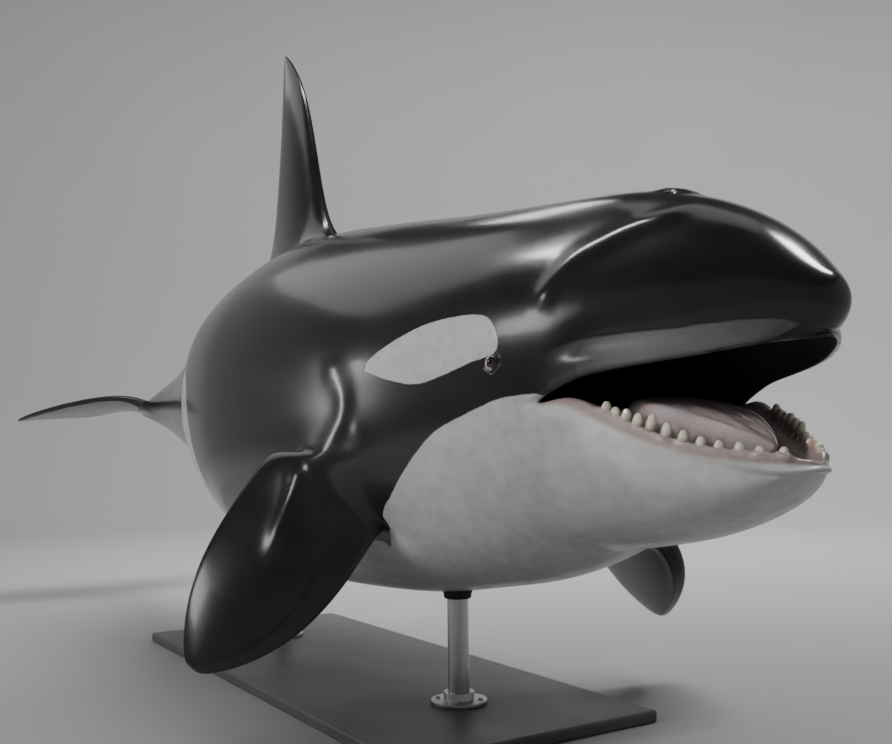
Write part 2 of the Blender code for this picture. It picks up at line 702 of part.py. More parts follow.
def sheet(path, half_width):
    """A wall of the gap's thickness that follows an s, z path and runs across the body."""
    bm = bmesh.new()
    near = [bm.verts.new(world(s, -half_width, z)) for s, z in path]
    far = [bm.verts.new(world(s, half_width, z)) for s, z in path]
    for i in range(len(path) - 1):
        bm.faces.new((near[i], near[i + 1], far[i + 1], far[i]))
    wall = add_object("sheet", bm)
    thicken = wall.modifiers.new("thicken", "SOLIDIFY")
    thicken.thickness = GAP
    thicken.offset = 0.0
    thicken.use_even_offset = True
    return settled(wall)


def grow_tooth(bm, foot, tip):
    axis = tip - foot
    turn = Vector((0, 0, 1)).rotation_difference(axis).to_matrix().to_4x4()
    bmesh.ops.create_cone(
        bm, cap_ends=True, segments=TOOTH_SIDES, radius1=TOOTH_RADIUS, radius2=TOOTH_RADIUS * TOOTH_TAPER,
        depth=axis.length, matrix=Matrix.Translation((foot + tip) / 2) @ turn,
    )


def lower_teeth():
    """Both sides' teeth as blunt cones that stand in the lower gum."""
    bm = bmesh.new()
    for s, rise in zip(TEETH_S, TOOTH_RISE):
        y, z, back = lip_inset(lip_half_width(s), TOOTH_INSET), gum_height_of(s), jaw_set_back(s)
        for side in (1, -1):
            foot = open_jaw((s + back, side * y, z - TOOTH_SINK))
            tip = open_jaw((s + back, side * y, z + rise))
            grow_tooth(bm, world(*foot), world(*tip))
    return add_object("teeth", bm)


def tongue():
    """A low tongue, narrow at its tip, lofted through ovals."""
    bm = bmesh.new()
    rings = []
    for s, half_width, low, high in TONGUE_SECTIONS:
        ring = []
        for side in range(TONGUE_SIDES):
            angle = 2 * math.pi * side / TONGUE_SIDES
            place = (s, half_width * math.cos(angle), (low + high) / 2 + (high - low) / 2 * math.sin(angle))
            ring.append(bm.verts.new(world(*open_jaw(place))))
        rings.append(ring)
    for front, rear in zip(rings, rings[1:]):
        for i in range(TONGUE_SIDES):
            j = (i + 1) % TONGUE_SIDES
            bm.faces.new((front[i], front[j], rear[j], rear[i]))
    low, high = TONGUE_SECTIONS[0][2:]
    tip = bm.verts.new(world(*open_jaw((TONGUE_TIP_S, 0.0, (low + high) / 2))))
    for i in range(TONGUE_SIDES):
        bm.faces.new((rings[0][i], tip, rings[0][(i + 1) % TONGUE_SIDES]))
    bm.faces.new(rings[-1])
    flesh = add_object("tongue", bm)
    round_off(flesh)
    flesh.modifiers.new("facets", "TRIANGULATE")
    return face_outwards(settled(flesh))


def grown_copy(obj, distance):
    """A copy with its surface moved outwards, for cutting the bed that the object lies in."""
    mesh = obj.data.copy()
    for vert in mesh.vertices:
        vert.co += vert.normal * distance
    return add_mesh_object(obj.name + "_bed", mesh)


def surface_point(body, start, direction):
    bpy.context.view_layer.update()
    hit, place, _, _ = body.ray_cast(start, direction)
    assert hit, "the ray misses the body"
    return place


def eye(body, side, name):
    """A ball that stands a little way out of the side of the head."""
    centre = surface_point(body, world(EYE_S, side * 2.0, EYE_Z), Vector((0, -side, 0)))
    centre.y -= side * EYE_DEPTH
    bm = bmesh.new()
    bmesh.ops.create_uvsphere(
        bm, u_segments=EYE_SEGMENTS, v_segments=EYE_RINGS, radius=EYE_RADIUS, matrix=Matrix.Translation(centre)
    )
    return add_object(name, bm)


def rod_mesh(radius, low, high, x):
    bm = bmesh.new()
    bmesh.ops.create_cone(
        bm, cap_ends=True, segments=ROD_SIDES, radius1=radius, radius2=radius, depth=high - low,
        matrix=Matrix.Translation((x, 0.0, (low + high) / 2)),
    )
    return bm


def rod(body, x, name):
    """A stand rod and the body with the socket that its top stands in."""
    belly = surface_point(body, Vector((x, 0.0, -1.0)), Vector((0, 0, 1))).z
    top = belly + ROD_SINK
    socket = add_object("socket", rod_mesh(ROD_RADIUS + GAP, belly - ROD_SINK, top + GAP, x))
    body = boolean(body, socket, "DIFFERENCE")
    return add_object(name, rod_mesh(ROD_RADIUS, BASE_HEIGHT + GAP, top, x)), body


def stand_base():
    base = slab((0.0, 0.0, BASE_HEIGHT / 2), (BASE_LENGTH, BASE_WIDTH, BASE_HEIGHT))
    base.name = "stand_base"
    edge = base.modifiers.new("edge", "BEVEL")
    edge.width = BASE_BEVEL
    edge.segments = 2
    return settled(base)


def volume(obj):
    bm = bmesh.new()
    bm.from_mesh(obj.data)
    size = bm.calc_volume()
    bm.free()
    return size


def cut_off(body, wall):
    """Cuts a body in two by a thin wall and returns the larger piece, then the smaller one."""
    body = boolean(body, wall, "DIFFERENCE")
    bpy.ops.object.select_all(action="DESELECT")
    body.select_set(True)
    bpy.context.view_layer.objects.active = body
    bpy.ops.mesh.separate(type="LOOSE")
    larger, smaller = sorted(bpy.context.selected_objects, key=volume, reverse=True)
    return larger, smaller


def cut_across(body, place, normal):
    """Cuts a whole body by a plane, with the gap between; returns the piece that the normal points to first."""
    pieces = []
    for side in (1, -1):
        bm = bmesh.new()
        bm.from_mesh(body.data)
        everything = bm.verts[:] + bm.edges[:] + bm.faces[:]
        start = place + normal * side * GAP / 2
        bmesh.ops.bisect_plane(
            bm, geom=everything, dist=1e-7, plane_co=start, plane_no=normal * side, clear_inner=True
        )
        bmesh.ops.holes_fill(bm, edges=[edge for edge in bm.edges if edge.is_boundary])
        pieces.append(face_outwards(add_object(body.name, bm)))
    bpy.data.objects.remove(body)
    return pieces


def part_body(body):
    """Parts the body where a person would name its parts; returns the pieces by name."""
    trunk, dorsal_fin = cut_off(body, sheet(DORSAL_CUT, DORSAL_CUT_HALF_WIDTH))
    flippers = []
    for side in (1, -1):
        root, chord, out, span = flipper_frame(side)
        turn = Matrix((chord, out, span)).transposed()
        wall = slab(root + span * FLIPPER_CUT_REACH, (*FLIPPER_CUT_SIZE, GAP), turn)
        trunk, limb = cut_off(trunk, wall)
        flippers.append(limb)
    forward, left = Vector((1, 0, 0)), Vector((0, 1, 0))
    head, trunk = cut_across(trunk, world(HEAD_REAR_S, 0, 0), forward)
    trunk, tail_stock = cut_across(trunk, world(TRUNK_REAR_S, 0, 0), forward)
    tail_stock, flukes = cut_across(tail_stock, world(STOCK_REAR_S, 0, 0), forward)
    flukes = cut_across(flukes, world(STOCK_REAR_S, 0, 0), left)
    head, lower_jaw = cut_off(head, sheet(JAW_CUT, CUT_REACH))
    return {
        "head": head, "lower_jaw": lower_jaw, "trunk": trunk, "tail_stock": tail_stock,
        "fluke_left": flukes[0], "fluke_right": flukes[1], "dorsal_fin": dorsal_fin,
        "flipper_left": flippers[0], "flipper_right": flippers[1],
    }


def set_origin(obj):
    """Moves the object's origin to the middle of its points without moving its surface."""
    places = [vert.co for vert in obj.data.vertices]
    middle = sum(places, Vector()) / len(places)
    obj.data.transform(Matrix.Translation(-middle))
    obj.location = middle


def paint(obj, colour, roughness):
    finish = bpy.data.materials.new(obj.name + "_finish")
    finish.use_nodes = True
    surface = finish.node_tree.nodes["Principled BSDF"]
    surface.inputs["Base Color"].default_value = (*colour, 1.0)
    surface.inputs["Roughness"].default_value = roughness
    obj.data.materials.clear()
    obj.data.materials.append(finish)


def file_under(obj, collection, parent):
    for other in list(obj.users_collection):
        other.objects.unlink(obj)
    collection.objects.link(obj)
    obj.parent = parent


def build_orca():
    for obj in list(bpy.data.objects):
        bpy.data.objects.remove(obj)
    body = boolean(whole_animal(), lower_teeth(), "UNION")
    flesh = tongue()
    body = boolean(body, grown_copy(flesh, GAP), "DIFFERENCE")
    eyes = [eye(body, 1, "eye_left"), eye(body, -1, "eye_right")]
    for ball in eyes:
        body = boolean(body, grown_copy(ball, GAP), "DIFFERENCE")
    front_rod, body = rod(body, ROD_X, "stand_rod_front")
    rear_rod, body = rod(body, -ROD_X, "stand_rod_rear")
    pieces = part_body(body)
    for name, piece in pieces.items():
        piece.name = name
    collection = bpy.data.collections.new("orca")
    bpy.context.scene.collection.children.link(collection)
    frame = bpy.data.objects.new("orca", None)
    collection.objects.link(frame)
    for obj in [*pieces.values(), flesh, *eyes, front_rod, rear_rod, stand_base()]:
        set_origin(obj)
        paint(obj, *PARTS[obj.name])
        obj.data.shade_smooth()
        obj.data.set_sharp_from_angle(angle=math.radians(SHARP_ANGLE))
        file_under(obj, collection, frame)


build_orca()
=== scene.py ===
import math

import bmesh
import bpy
import numpy as np
from mathutils import Matrix, Vector
from mathutils.bvhtree import BVHTree

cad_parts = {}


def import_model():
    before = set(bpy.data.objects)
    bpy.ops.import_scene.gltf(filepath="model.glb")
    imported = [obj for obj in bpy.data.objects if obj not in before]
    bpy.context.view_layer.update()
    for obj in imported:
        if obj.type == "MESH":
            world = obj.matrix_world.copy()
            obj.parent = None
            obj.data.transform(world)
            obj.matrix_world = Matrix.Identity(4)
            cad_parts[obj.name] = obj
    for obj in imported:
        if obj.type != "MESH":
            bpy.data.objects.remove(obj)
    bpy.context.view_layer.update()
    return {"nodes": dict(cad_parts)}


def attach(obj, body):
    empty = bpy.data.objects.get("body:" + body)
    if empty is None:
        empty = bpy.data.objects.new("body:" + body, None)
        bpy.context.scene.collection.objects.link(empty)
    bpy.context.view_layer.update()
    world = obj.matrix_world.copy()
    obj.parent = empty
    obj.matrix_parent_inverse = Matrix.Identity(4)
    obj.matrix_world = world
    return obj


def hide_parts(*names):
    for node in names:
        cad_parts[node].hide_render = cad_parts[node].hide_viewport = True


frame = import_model()
bpy.ops.object.select_all(action="DESELECT")
print("frame loaded:", len(frame["nodes"]), "nodes")


camera = {
    "place": (3.659, -1.875, 0.902),
    "yaw": 147.673,
    "pitch": 4.235,
    "roll": -0.806,
    "lens": 40.58,
    "sensor": 36.0,
}


def setCamera():
    # yaw turns from +X towards +Y, pitch upwards, and roll lifts the camera's right side
    yaw, pitch, roll = (math.radians(camera[key]) for key in ("yaw", "pitch", "roll"))
    ahead = Vector((math.cos(yaw) * math.cos(pitch), math.sin(yaw) * math.cos(pitch), math.sin(pitch)))
    level = Vector((math.sin(yaw), -math.cos(yaw), 0))
    above = level.cross(ahead)
    right = level * math.cos(roll) + above * math.sin(roll)
    up = above * math.cos(roll) - level * math.sin(roll)
    turn = Matrix((right, up, -ahead)).transposed().to_4x4()
    bpy.ops.object.camera_add()
    seen = bpy.context.object
    seen.matrix_world = Matrix.Translation(camera["place"]) @ turn
    seen.data.sensor_width = camera["sensor"]
    seen.data.lens = camera["lens"]
    bpy.context.scene.camera = seen


setCamera()


body = {
    "noseX": 2.3,
    "axisZ": 1.15,
    "power": 2.15,      # roundness of the sections
    "pull": 1.016,      # the cage stands this much outside the skin
    "upperRows": 6,     # rows of cage faces from the back's midline to the lips
    "lowerRows": 4,     # and from the lips to the belly's midline
    "restLip": -18.0,   # where the lip row runs behind the head, degrees below the side
    # s behind the snout, top, bottom, half width
    "stations": (
        (0.025, 0.122, -0.130, 0.056), (0.06, 0.156, -0.196, 0.110), (0.12, 0.219, -0.268, 0.172),
        (0.20, 0.281, -0.338, 0.232), (0.30, 0.335, -0.408, 0.288), (0.42, 0.380, -0.472, 0.334),
        (0.55, 0.412, -0.536, 0.370), (0.80, 0.442, -0.606, 0.432), (1.20, 0.487, -0.688, 0.504),
        (1.70, 0.556, -0.758, 0.562), (2.30, 0.618, -0.772, 0.585), (2.90, 0.578, -0.650, 0.516),
        (3.35, 0.436, -0.460, 0.384), (3.90, 0.282, -0.296, 0.254), (4.40, 0.194, -0.184, 0.156),
        (4.80, 0.140, -0.104, 0.096), (5.12, 0.086, -0.054, 0.062), (5.30, 0.030, -0.020, 0.046),
    ),
    # s of the cage's rings behind the mouth
    "rings": (
        0.62, 0.72, 0.84, 1.02, 1.20, 1.34, 1.48, 1.62, 1.80, 2.08, 2.42, 2.60, 2.80, 3.00, 3.20,
        3.42, 3.72, 4.06, 4.40, 4.70, 4.90, 5.02, 5.14, 5.23, 5.27,
    ),
    # rows that gather at a fin's root: s where that begins, is full, ends and is over; row, degrees
    "gathered": (
        ((2.0, 2.5, 3.2, 3.8), ((1, 80.5), (2, 63.0))),
        ((0.9, 1.3, 1.65, 2.2), ((6, -14.0), (7, -29.0), (8, -45.0), (9, -67.0))),
    ),
    "tailEnd": 0.012,   # the tail's end cap stands out this much
    "detail": 3,        # subdivisions of the cage
}

mouth = {
    "rings": (0.025, 0.06, 0.12, 0.20, 0.30, 0.41, 0.49, 0.555),
    "cornerS": 0.62,
    "lipLine": (
        (0.02, -0.026), (0.08, -0.031), (0.20, -0.055), (0.42, -0.083), (0.49, -0.094), (0.555, -0.121),
        (0.62, -0.150),
    ),
    # the crease outside the lower lip, and the gum's top edge inside it
    "lowerLipLine": (
        (0.01, -0.117), (0.07, -0.140), (0.12, -0.153), (0.20, -0.162), (0.30, -0.162), (0.42, -0.157),
        (0.50, -0.152), (0.555, -0.148), (0.62, -0.150),
    ),
    "gumLine": (
        (0.02, -0.100), (0.07, -0.104), (0.13, -0.117), (0.20, -0.129), (0.28, -0.132), (0.36, -0.123),
        (0.43, -0.110), (0.49, -0.090), (0.555, -0.096), (0.62, -0.135),
    ),
    # how much at the snout, and over which s it fades
    "lipTuck": (0.34, 0.13),
    "lipRetreat": (0.020, 0.10),
    "melonPush": (0.028, 0.13),
    "lipThick": 0.028,
    "lipRoll": 0.003,       # the upper lip's inner edge lies this much higher
    "gumInset": 0.075,
    "leastWidth": 0.4,      # share of the half width that an inset leaves near the snout
    # how far the lining rises or drops from the lip where the mouth has its full depth
    "upperGum": 0.045,
    "lowerGum": 0.030,
    "palateRise": 0.085,
    "floorDrop": 0.060,
    "depthS": (-0.02, 0.22),
    "jawSetBack": 0.046,
    "hinge": (0.603, -0.182),
    "open": 20.0,
    # s of the snout's middle, row by row from the melon down to the lip
    "snoutMiddle": (0.017, 0.005, -0.003, -0.006, 0.006, 0.028),
    "chinReach": (0.022, 0.020, 0.014, 0.006),
    # how far each lower row of a ring behind the corner follows the jaw
    "throatGive": {
        0.62: (0.0, 0.52, 0.70, 0.74, 0.74), 0.72: (0.0, 0.24, 0.35, 0.37, 0.37),
        0.84: (0.0, 0.06, 0.10, 0.12, 0.12),
    },
}

# the mouth's end behind its corner; heights at the gum and in the middle, from the lip
pocket = {
    "s": 0.66,
    "lipRise": 0.004,
    "roof": (0.040, 0.075),
    "floor": (-0.040, -0.058),
    "backSide": 0.62,       # shares of the half width
    "backGum": 0.45,
    "backRoof": (0.025, 0.035),
    "backFloor": (-0.030, -0.040),
    # how far the floor, the back's side and the back's floor follow the jaw
    "follow": (0.8, 0.3, 0.4),
}

dorsalFin = {
    "rings": (2.42, 2.60, 2.80, 3.00, 3.20),
    # s and height, from the root to the tip
    "front": (
        (2.46, 0.66), (2.55, 0.78), (2.62, 0.98), (2.69, 1.20), (2.77, 1.385), (2.875, 1.53), (2.975, 1.616),
    ),
    "rear": (
        (3.22, 0.63), (3.145, 0.75), (3.105, 0.93), (3.065, 1.16), (3.04, 1.36), (3.025, 1.52), (3.01, 1.626),
    ),
    "halfThick": (0.085, 0.056, 0.045, 0.036, 0.027, 0.018, 0.010),
    # shares of the way from the front to the rear edge, and of the thickness there
    "shares": (0.10, 0.32, 0.56, 0.78, 0.94),
    "swell": (0.62, 1.0, 0.86, 0.55, 0.24),
    "tipRise": 0.004,
}

paddleShares = (0.13, 0.40, 0.68, 0.90)     # where a flipper's or fluke's points lie between its edges

flipper = {
    "rings": (1.20, 1.34, 1.48, 1.62),
    # s, side and height of the root's middle, and the ways to the tip and to the rear edge
    "root": (1.487, 0.469, -0.380),
    "span": (0.077, 0.661, -0.746),
    "chord": (0.766, 0.439, 0.469),
    "length": 0.70,
    "halfChord": 0.280,
    "setBack": 0.010,
    "shoulder": 0.030,      # the rear edge stands out this much more at the root
    "tipPowers": (3.4, 0.9),
    "sections": (0.0, 0.16, 0.36, 0.56, 0.73, 0.87, 0.965),
    "halfThick": (0.110, 0.066, 0.052, 0.042, 0.032, 0.023, 0.014),
    "rootBend": 0.065,
    "swell": (0.70, 1.0, 0.72, 0.30),
    "leftTwist": -41.0,
    "leftForward": (0.114, -0.108),     # at the root, and what the tip gets on top
    "leftDrop": 0.022,
    # over which reach it turns, moves forward at the root, and moves and drops at the tip
    "leftTurns": (0.02, 0.30),
    "leftRoot": (0.0, 0.28),
    "leftTip": (0.28, 0.75),
    "twistRadius": 0.42,
    "limbEdge": (0.05, 0.6),            # how the skin's limb value fades the flipper's shaping in
}

fluke = {
    "rings": (4.90, 5.02, 5.14, 5.23),
    # distance from the middle, s of the front and of the rear edge
    "reach": (0.13, 0.24, 0.38, 0.52, 0.64, 0.72, 0.765),
    "front": (4.97, 5.01, 5.075, 5.16, 5.27, 5.365, 5.44),
    "rear": (5.355, 5.41, 5.43, 5.44, 5.455, 5.475, 5.49),
    "halfThick": (0.046, 0.036, 0.029, 0.022, 0.015, 0.010, 0.006),
    "pitch": 20.0,
    "pivotS": 5.2,
    "rise": 0.044,
    "swell": (0.80, 1.0, 0.66, 0.26),
}

lastRow = body["upperRows"] + body["lowerRows"]


def smoothCurve(knots):
    # a monotone cubic through x, y knots, level past its ends
    xs = [knot[0] for knot in knots]
    ys = [knot[1] for knot in knots]
    steps = [(ys[i + 1] - ys[i]) / (xs[i + 1] - xs[i]) for i in range(len(xs) - 1)]
    slopes = [steps[0]]
    for left, right in zip(steps, steps[1:]):
        slopes.append(0.0 if left * right <= 0 else 2 * left * right / (left + right))
    slopes.append(steps[-1])

    def value(x):
        x = min(max(x, xs[0]), xs[-1])
        i = max(k for k in range(len(xs) - 1) if xs[k] <= x)
        gap = xs[i + 1] - xs[i]
        t = (x - xs[i]) / gap
        rise = ys[i] * (1 + 2 * t) * (1 - t) ** 2 + ys[i + 1] * (3 - 2 * t) * t ** 2
        return rise + gap * (slopes[i] * t * (1 - t) ** 2 - slopes[i + 1] * (1 - t) * t ** 2)

    return value


topOf = smoothCurve([(row[0], row[1]) for row in body["stations"]])
bottomOf = smoothCurve([(row[0], row[2]) for row in body["stations"]])
halfWidthOf = smoothCurve([(row[0], row[3]) for row in body["stations"]])
lipHeightOf = smoothCurve(mouth["lipLine"])
lowerLipHeightOf = smoothCurve(mouth["lowerLipLine"])
gumHeightOf = smoothCurve(mouth["gumLine"])


def world(s, y, z):
    return Vector((body["noseX"] - s, y, body["axisZ"] + z))


def ease(value, low, high):
    t = np.clip((np.asarray(value, float) - low) / (high - low), 0.0, 1.0)
    return t * t * (3 - 2 * t)


def lipAngle(s):
    # degrees round the section of the upper lip's row
    middle, half = (topOf(s) + bottomOf(s)) / 2, (topOf(s) - bottomOf(s)) / 2
    share = min(max((lipHeightOf(s) - middle) / half, -0.9), 0.9)
    atMouth = math.degrees(math.asin(math.copysign(abs(share) ** (body["power"] / 2), share)))
    rest = float(ease(s, mouth["cornerS"], mouth["cornerS"] + 0.4))
    return atMouth * (1 - rest) + body["restLip"] * rest


def rowAngles(s):
    # degrees round the section of each row, from 90 at the back to -90 at the belly
    lip, upper, lower = lipAngle(s), body["upperRows"], body["lowerRows"]
    angles = [90 + (lip - 90) * row / upper for row in range(upper + 1)]
    angles += [lip - (90 + lip) * row / lower for row in range(1, lower + 1)]
    for (start, full, fade, end), rows in body["gathered"]:
        near = float(ease(s, start, full) * (1 - ease(s, fade, end)))
        for row, angle in rows:
            angles[row] += (angle - angles[row]) * near
    return angles


def sectionPoint(s, angle):
    # a place on the body's rounded section at s
    middle, half = (topOf(s) + bottomOf(s)) / 2, (topOf(s) - bottomOf(s)) / 2 * body["pull"]
    across, up = math.cos(math.radians(angle)), math.sin(math.radians(angle))
    y = halfWidthOf(s) * body["pull"] * abs(across) ** (2 / body["power"])
    z = middle + half * math.copysign(abs(up) ** (2 / body["power"]), up)
    return s, y if abs(angle) < 90 else 0.0, z


def openJaw(point, share=1.0):
    # turns a place of the closed jaw down about the hinge
    s, y, z = point
    turn = math.radians(mouth["open"] * share)
    hingeS, hingeZ = mouth["hinge"]
    ds, dz = s - hingeS, z - hingeZ
    return (
        hingeS + ds * math.cos(turn) - dz * math.sin(turn), y,
        hingeZ + ds * math.sin(turn) + dz * math.cos(turn),
    )


def melonPush(s, row):
    # how far a row's point moves forward on the blunt forehead
    push, fade = mouth["melonPush"]
    retreat, lipFade = mouth["lipRetreat"]
    share = row / body["upperRows"]
    forward = push * math.sin(math.pi * share ** 1.5) * math.exp(-s / fade)
    return forward - retreat * share ** 6 * math.exp(-s / lipFade)


def lipTuck(s):
    # share by which the upper lip is narrower than the section
    share, fade = mouth["lipTuck"]
    return share * math.exp(-s / fade)


def lipHalfWidth(s):
    return sectionPoint(s, lipAngle(s))[1] * (1 - lipTuck(s))


def jawSetBack(s):
    return mouth["jawSetBack"] * (1 - s / mouth["cornerS"])


def lipInset(y, inset):
    # half width inside the lips, never much less than a share of the outer one
    return max(y - inset, y * mouth["leastWidth"] * (1 - inset))


def mouthDepth(s):
    return float(ease(s, *mouth["depthS"]))


class Cage:
    # points and faces of the left half; each point knows if it is mouth lining, palate or limb

    def __init__(self):
        self.bm = bmesh.new()
        self.lining = self.bm.verts.layers.float.new("lining")
        self.palate = self.bm.verts.layers.float.new("palate")
        self.limb = self.bm.verts.layers.float.new("limb")

    def point(self, place, lining=0.0, palate=0.0, limb=0.0):
        vert = self.bm.verts.new(world(*place))
        vert[self.lining] = lining
        vert[self.palate] = palate
        vert[self.limb] = limb
        return vert

    def points(self, places, lining=0.0, palate=0.0, limb=0.0):
        return [self.point(place, lining, palate, limb) for place in places]

    def face(self, *corners):
        self.bm.faces.new(corners)

    def strip(self, front, rear, skip=()):
        for i in range(len(front) - 1):
            if i not in skip:
                self.face(front[i], front[i + 1], rear[i + 1], rear[i])


def cagePlace(vert):
    return body["noseX"] - vert.co.x, vert.co.y, vert.co.z - body["axisZ"]


def upperMouthRings(cage):
    # skin from the back's middle to the lip, then the lining from the lip to the palate's middle
    rings = []
    upper = body["upperRows"]
    for ringS in mouth["rings"]:
        skin = [sectionPoint(ringS, angle) for angle in rowAngles(ringS)[: upper + 1]]
        skin = [
            (s - melonPush(s, row), y * (1 - lipTuck(s) * (row / upper) ** 3), z)
            for row, (s, y, z) in enumerate(skin)
        ]
        s, y, z = skin[-1]
        inside = [
            (s, lipInset(y, mouth["lipThick"]), z + mouth["lipRoll"]),
            (s, lipInset(y, mouth["gumInset"]), z + mouth["upperGum"] * mouthDepth(s)),
            (s, 0.0, z + mouth["palateRise"] * mouthDepth(s)),
        ]
        rings.append((cage.points(skin), cage.points(inside, 1.0, 1.0)))
    return rings


def lowerMouthRings(cage):
    # skin from the lower lip to the chin's middle, then the lining from the gum to the floor's middle
    rings = []
    for s in mouth["rings"]:
        skin = [sectionPoint(s, angle) for angle in rowAngles(s)[body["upperRows"]:]]
        y, z = lipHalfWidth(s), lowerLipHeightOf(s)
        chinZ = skin[-1][2]
        share = (z - chinZ) / (skin[0][2] - chinZ)
        skin = [(s, y, z)] + [(s, across, chinZ + (up - chinZ) * share) for _, across, up in skin[1:]]
        gumZ = gumHeightOf(s)
        inside = [
            (s, lipInset(y, mouth["lipThick"]), gumZ),
            (s, lipInset(y, mouth["gumInset"]), gumZ - mouth["lowerGum"] * mouthDepth(s)),
            (s, 0.0, gumZ - mouth["floorDrop"] * mouthDepth(s)),
        ]
        opened = [[openJaw((p[0] + jawSetBack(s), p[1], p[2])) for p in part] for part in (skin, inside)]
        rings.append((cage.points(opened[0]), cage.points(opened[1], 1.0)))
    return rings


def snoutCap(cage, rings):
    skin, inside = rings[0]
    upper = body["upperRows"]
    middle = [None]
    for row in range(1, upper + 1):
        middle.append(cage.point((mouth["snoutMiddle"][row - 1], 0.0, skin[row].co.z - body["axisZ"])))
    cage.face(skin[0], skin[1], middle[1])
    for row in range(1, upper):
        cage.face(skin[row], skin[row + 1], middle[row + 1], middle[row])
    cage.face(skin[upper], *inside, middle[upper])


def chinCap(cage, rings):
    skin, inside = rings[0]
    places = [cagePlace(vert) for vert in skin]
    middle = [cage.point((s - reach, 0.0, z)) for (s, _, z), reach in zip(places, mouth["chinReach"])]
    cage.face(skin[0], *inside, middle[0])
    for row in range(body["lowerRows"] - 1):
        cage.face(skin[row], skin[row + 1], middle[row + 1], middle[row])
    cage.face(skin[-2], skin[-1], middle[-1])


def bodyRings(cage):
    # whole rings behind the mouth's corner; the throat's rows follow the jaw a little
    rings = []
    for s in body["rings"]:
        places = [sectionPoint(s, angle) for angle in rowAngles(s)]
        for i, share in enumerate(mouth["throatGive"].get(s, ())):
            row = body["upperRows"] + i
            places[row] = openJaw(places[row], share)
        rings.append(cage.points(places))
    return rings


def mouthPocket(cage, corner, upper, lower):
    s, back = mouth["cornerS"], pocket["s"]
    _, y, z = sectionPoint(s, lipAngle(s))
    gum, backGum = lipInset(y, mouth["gumInset"]), y * pocket["backGum"]
    floorShare, sideShare, backShare = pocket["follow"]

    def pair(s, across, heights):
        return [(s, across, z + heights[0]), (s, 0.0, z + heights[1])]

    side = cage.point((s, lipInset(y, mouth["lipThick"]), z + pocket["lipRise"]), 1.0, 0.5)
    roof = cage.points(pair(s, gum, pocket["roof"]), 1.0, 1.0)
    floor = cage.points([openJaw(place, floorShare) for place in pair(s, gum, pocket["floor"])], 1.0)
    backSide = cage.point(openJaw((back, y * pocket["backSide"], z), sideShare), 1.0, 0.5)
    backRoof = cage.points(pair(back, backGum, pocket["backRoof"]), 1.0, 1.0)
    backFloor = pair(back, backGum, pocket["backFloor"])
    backFloor = cage.points([openJaw(place, backShare) for place in backFloor], 1.0)
    cage.strip([upper[0][-1]] + upper[1], [corner, side] + roof)
    cage.strip([lower[0][0]] + lower[1], [corner, side] + floor)
    cage.strip([side] + roof, [backSide] + backRoof)
    cage.strip([side] + floor, [backSide] + backFloor)
    cage.face(backSide, backRoof[0], backFloor[0])
    cage.face(backRoof[0], backRoof[1], backFloor[1], backFloor[0])


def tailCap(cage, ring):
    places = [cagePlace(vert) for vert in ring[1:lastRow]]
    middle = [cage.point((s + body["tailEnd"], 0.0, z)) for s, _, z in places]
    cage.face(ring[0], ring[1], middle[0])
    for row in range(1, lastRow - 1):
        cage.face(ring[row], ring[row + 1], middle[row], middle[row - 1])
    cage.face(ring[lastRow - 1], ring[lastRow], middle[-1])


def growDorsalFin(cage, rings):
    below = [rings[0][0]] + [ring[1] for ring in rings] + [rings[-1][0]]
    for front, rear, thick in zip(dorsalFin["front"], dorsalFin["rear"], dorsalFin["halfThick"]):
        places = [(front[0], 0.0, front[1])]
        for share, fat in zip(dorsalFin["shares"], dorsalFin["swell"]):
            s = front[0] + (rear[0] - front[0]) * share
            places.append((s, thick * fat, front[1] + (rear[1] - front[1]) * share))
        places.append((rear[0], 0.0, rear[1]))
        level = cage.points(places)
        cage.strip(below, level)
        below = level
    places = [cagePlace(vert) for vert in below[2:5]]
    middle = [cage.point((s, 0.0, z + dorsalFin["tipRise"])) for s, _, z in places]
    cage.face(below[0], below[1], below[2], middle[0])
    cage.face(middle[0], below[2], below[3], middle[1])
    cage.face(middle[1], below[3], below[4], middle[2])
    cage.face(middle[2], below[4], below[5], below[6])


def paddle(cage, root, sections, swell):
    # a limb of ring sections round a front and a rear edge, closed at its tip
    below = root
    for front, rear, out, thick in sections:
        front, rear, out = Vector(front), Vector(rear), Vector(out)
        upper = [front.lerp(rear, share) + out * thick * fat for share, fat in zip(paddleShares, swell)]
        lower = [front.lerp(rear, share) - out * thick * fat for share, fat in zip(paddleShares, swell)]
        level = cage.points([front] + upper + [rear] + lower[::-1], limb=1.0)
        cage.strip(below + below[:1], level + level[:1])
        below = level
    inner = []
    for k in (2, 3):
        near, far = cagePlace(below[k]), cagePlace(below[10 - k])
        inner.append(cage.point([(a + b) / 2 for a, b in zip(near, far)], limb=1.0))
    cage.face(below[0], below[1], below[2], inner[0])
    cage.face(inner[0], below[2], below[3], inner[1])
    cage.face(inner[1], below[3], below[4], below[5])
    cage.face(below[0], inner[0], below[8], below[9])
    cage.face(inner[0], inner[1], below[7], below[8])
    cage.face(inner[1], below[5], below[6], below[7])


def flipperHalfChord(share):
    taper, blunt = flipper["tipPowers"]
    return flipper["halfChord"] * np.clip(1 - share ** taper, 0, 1) ** blunt


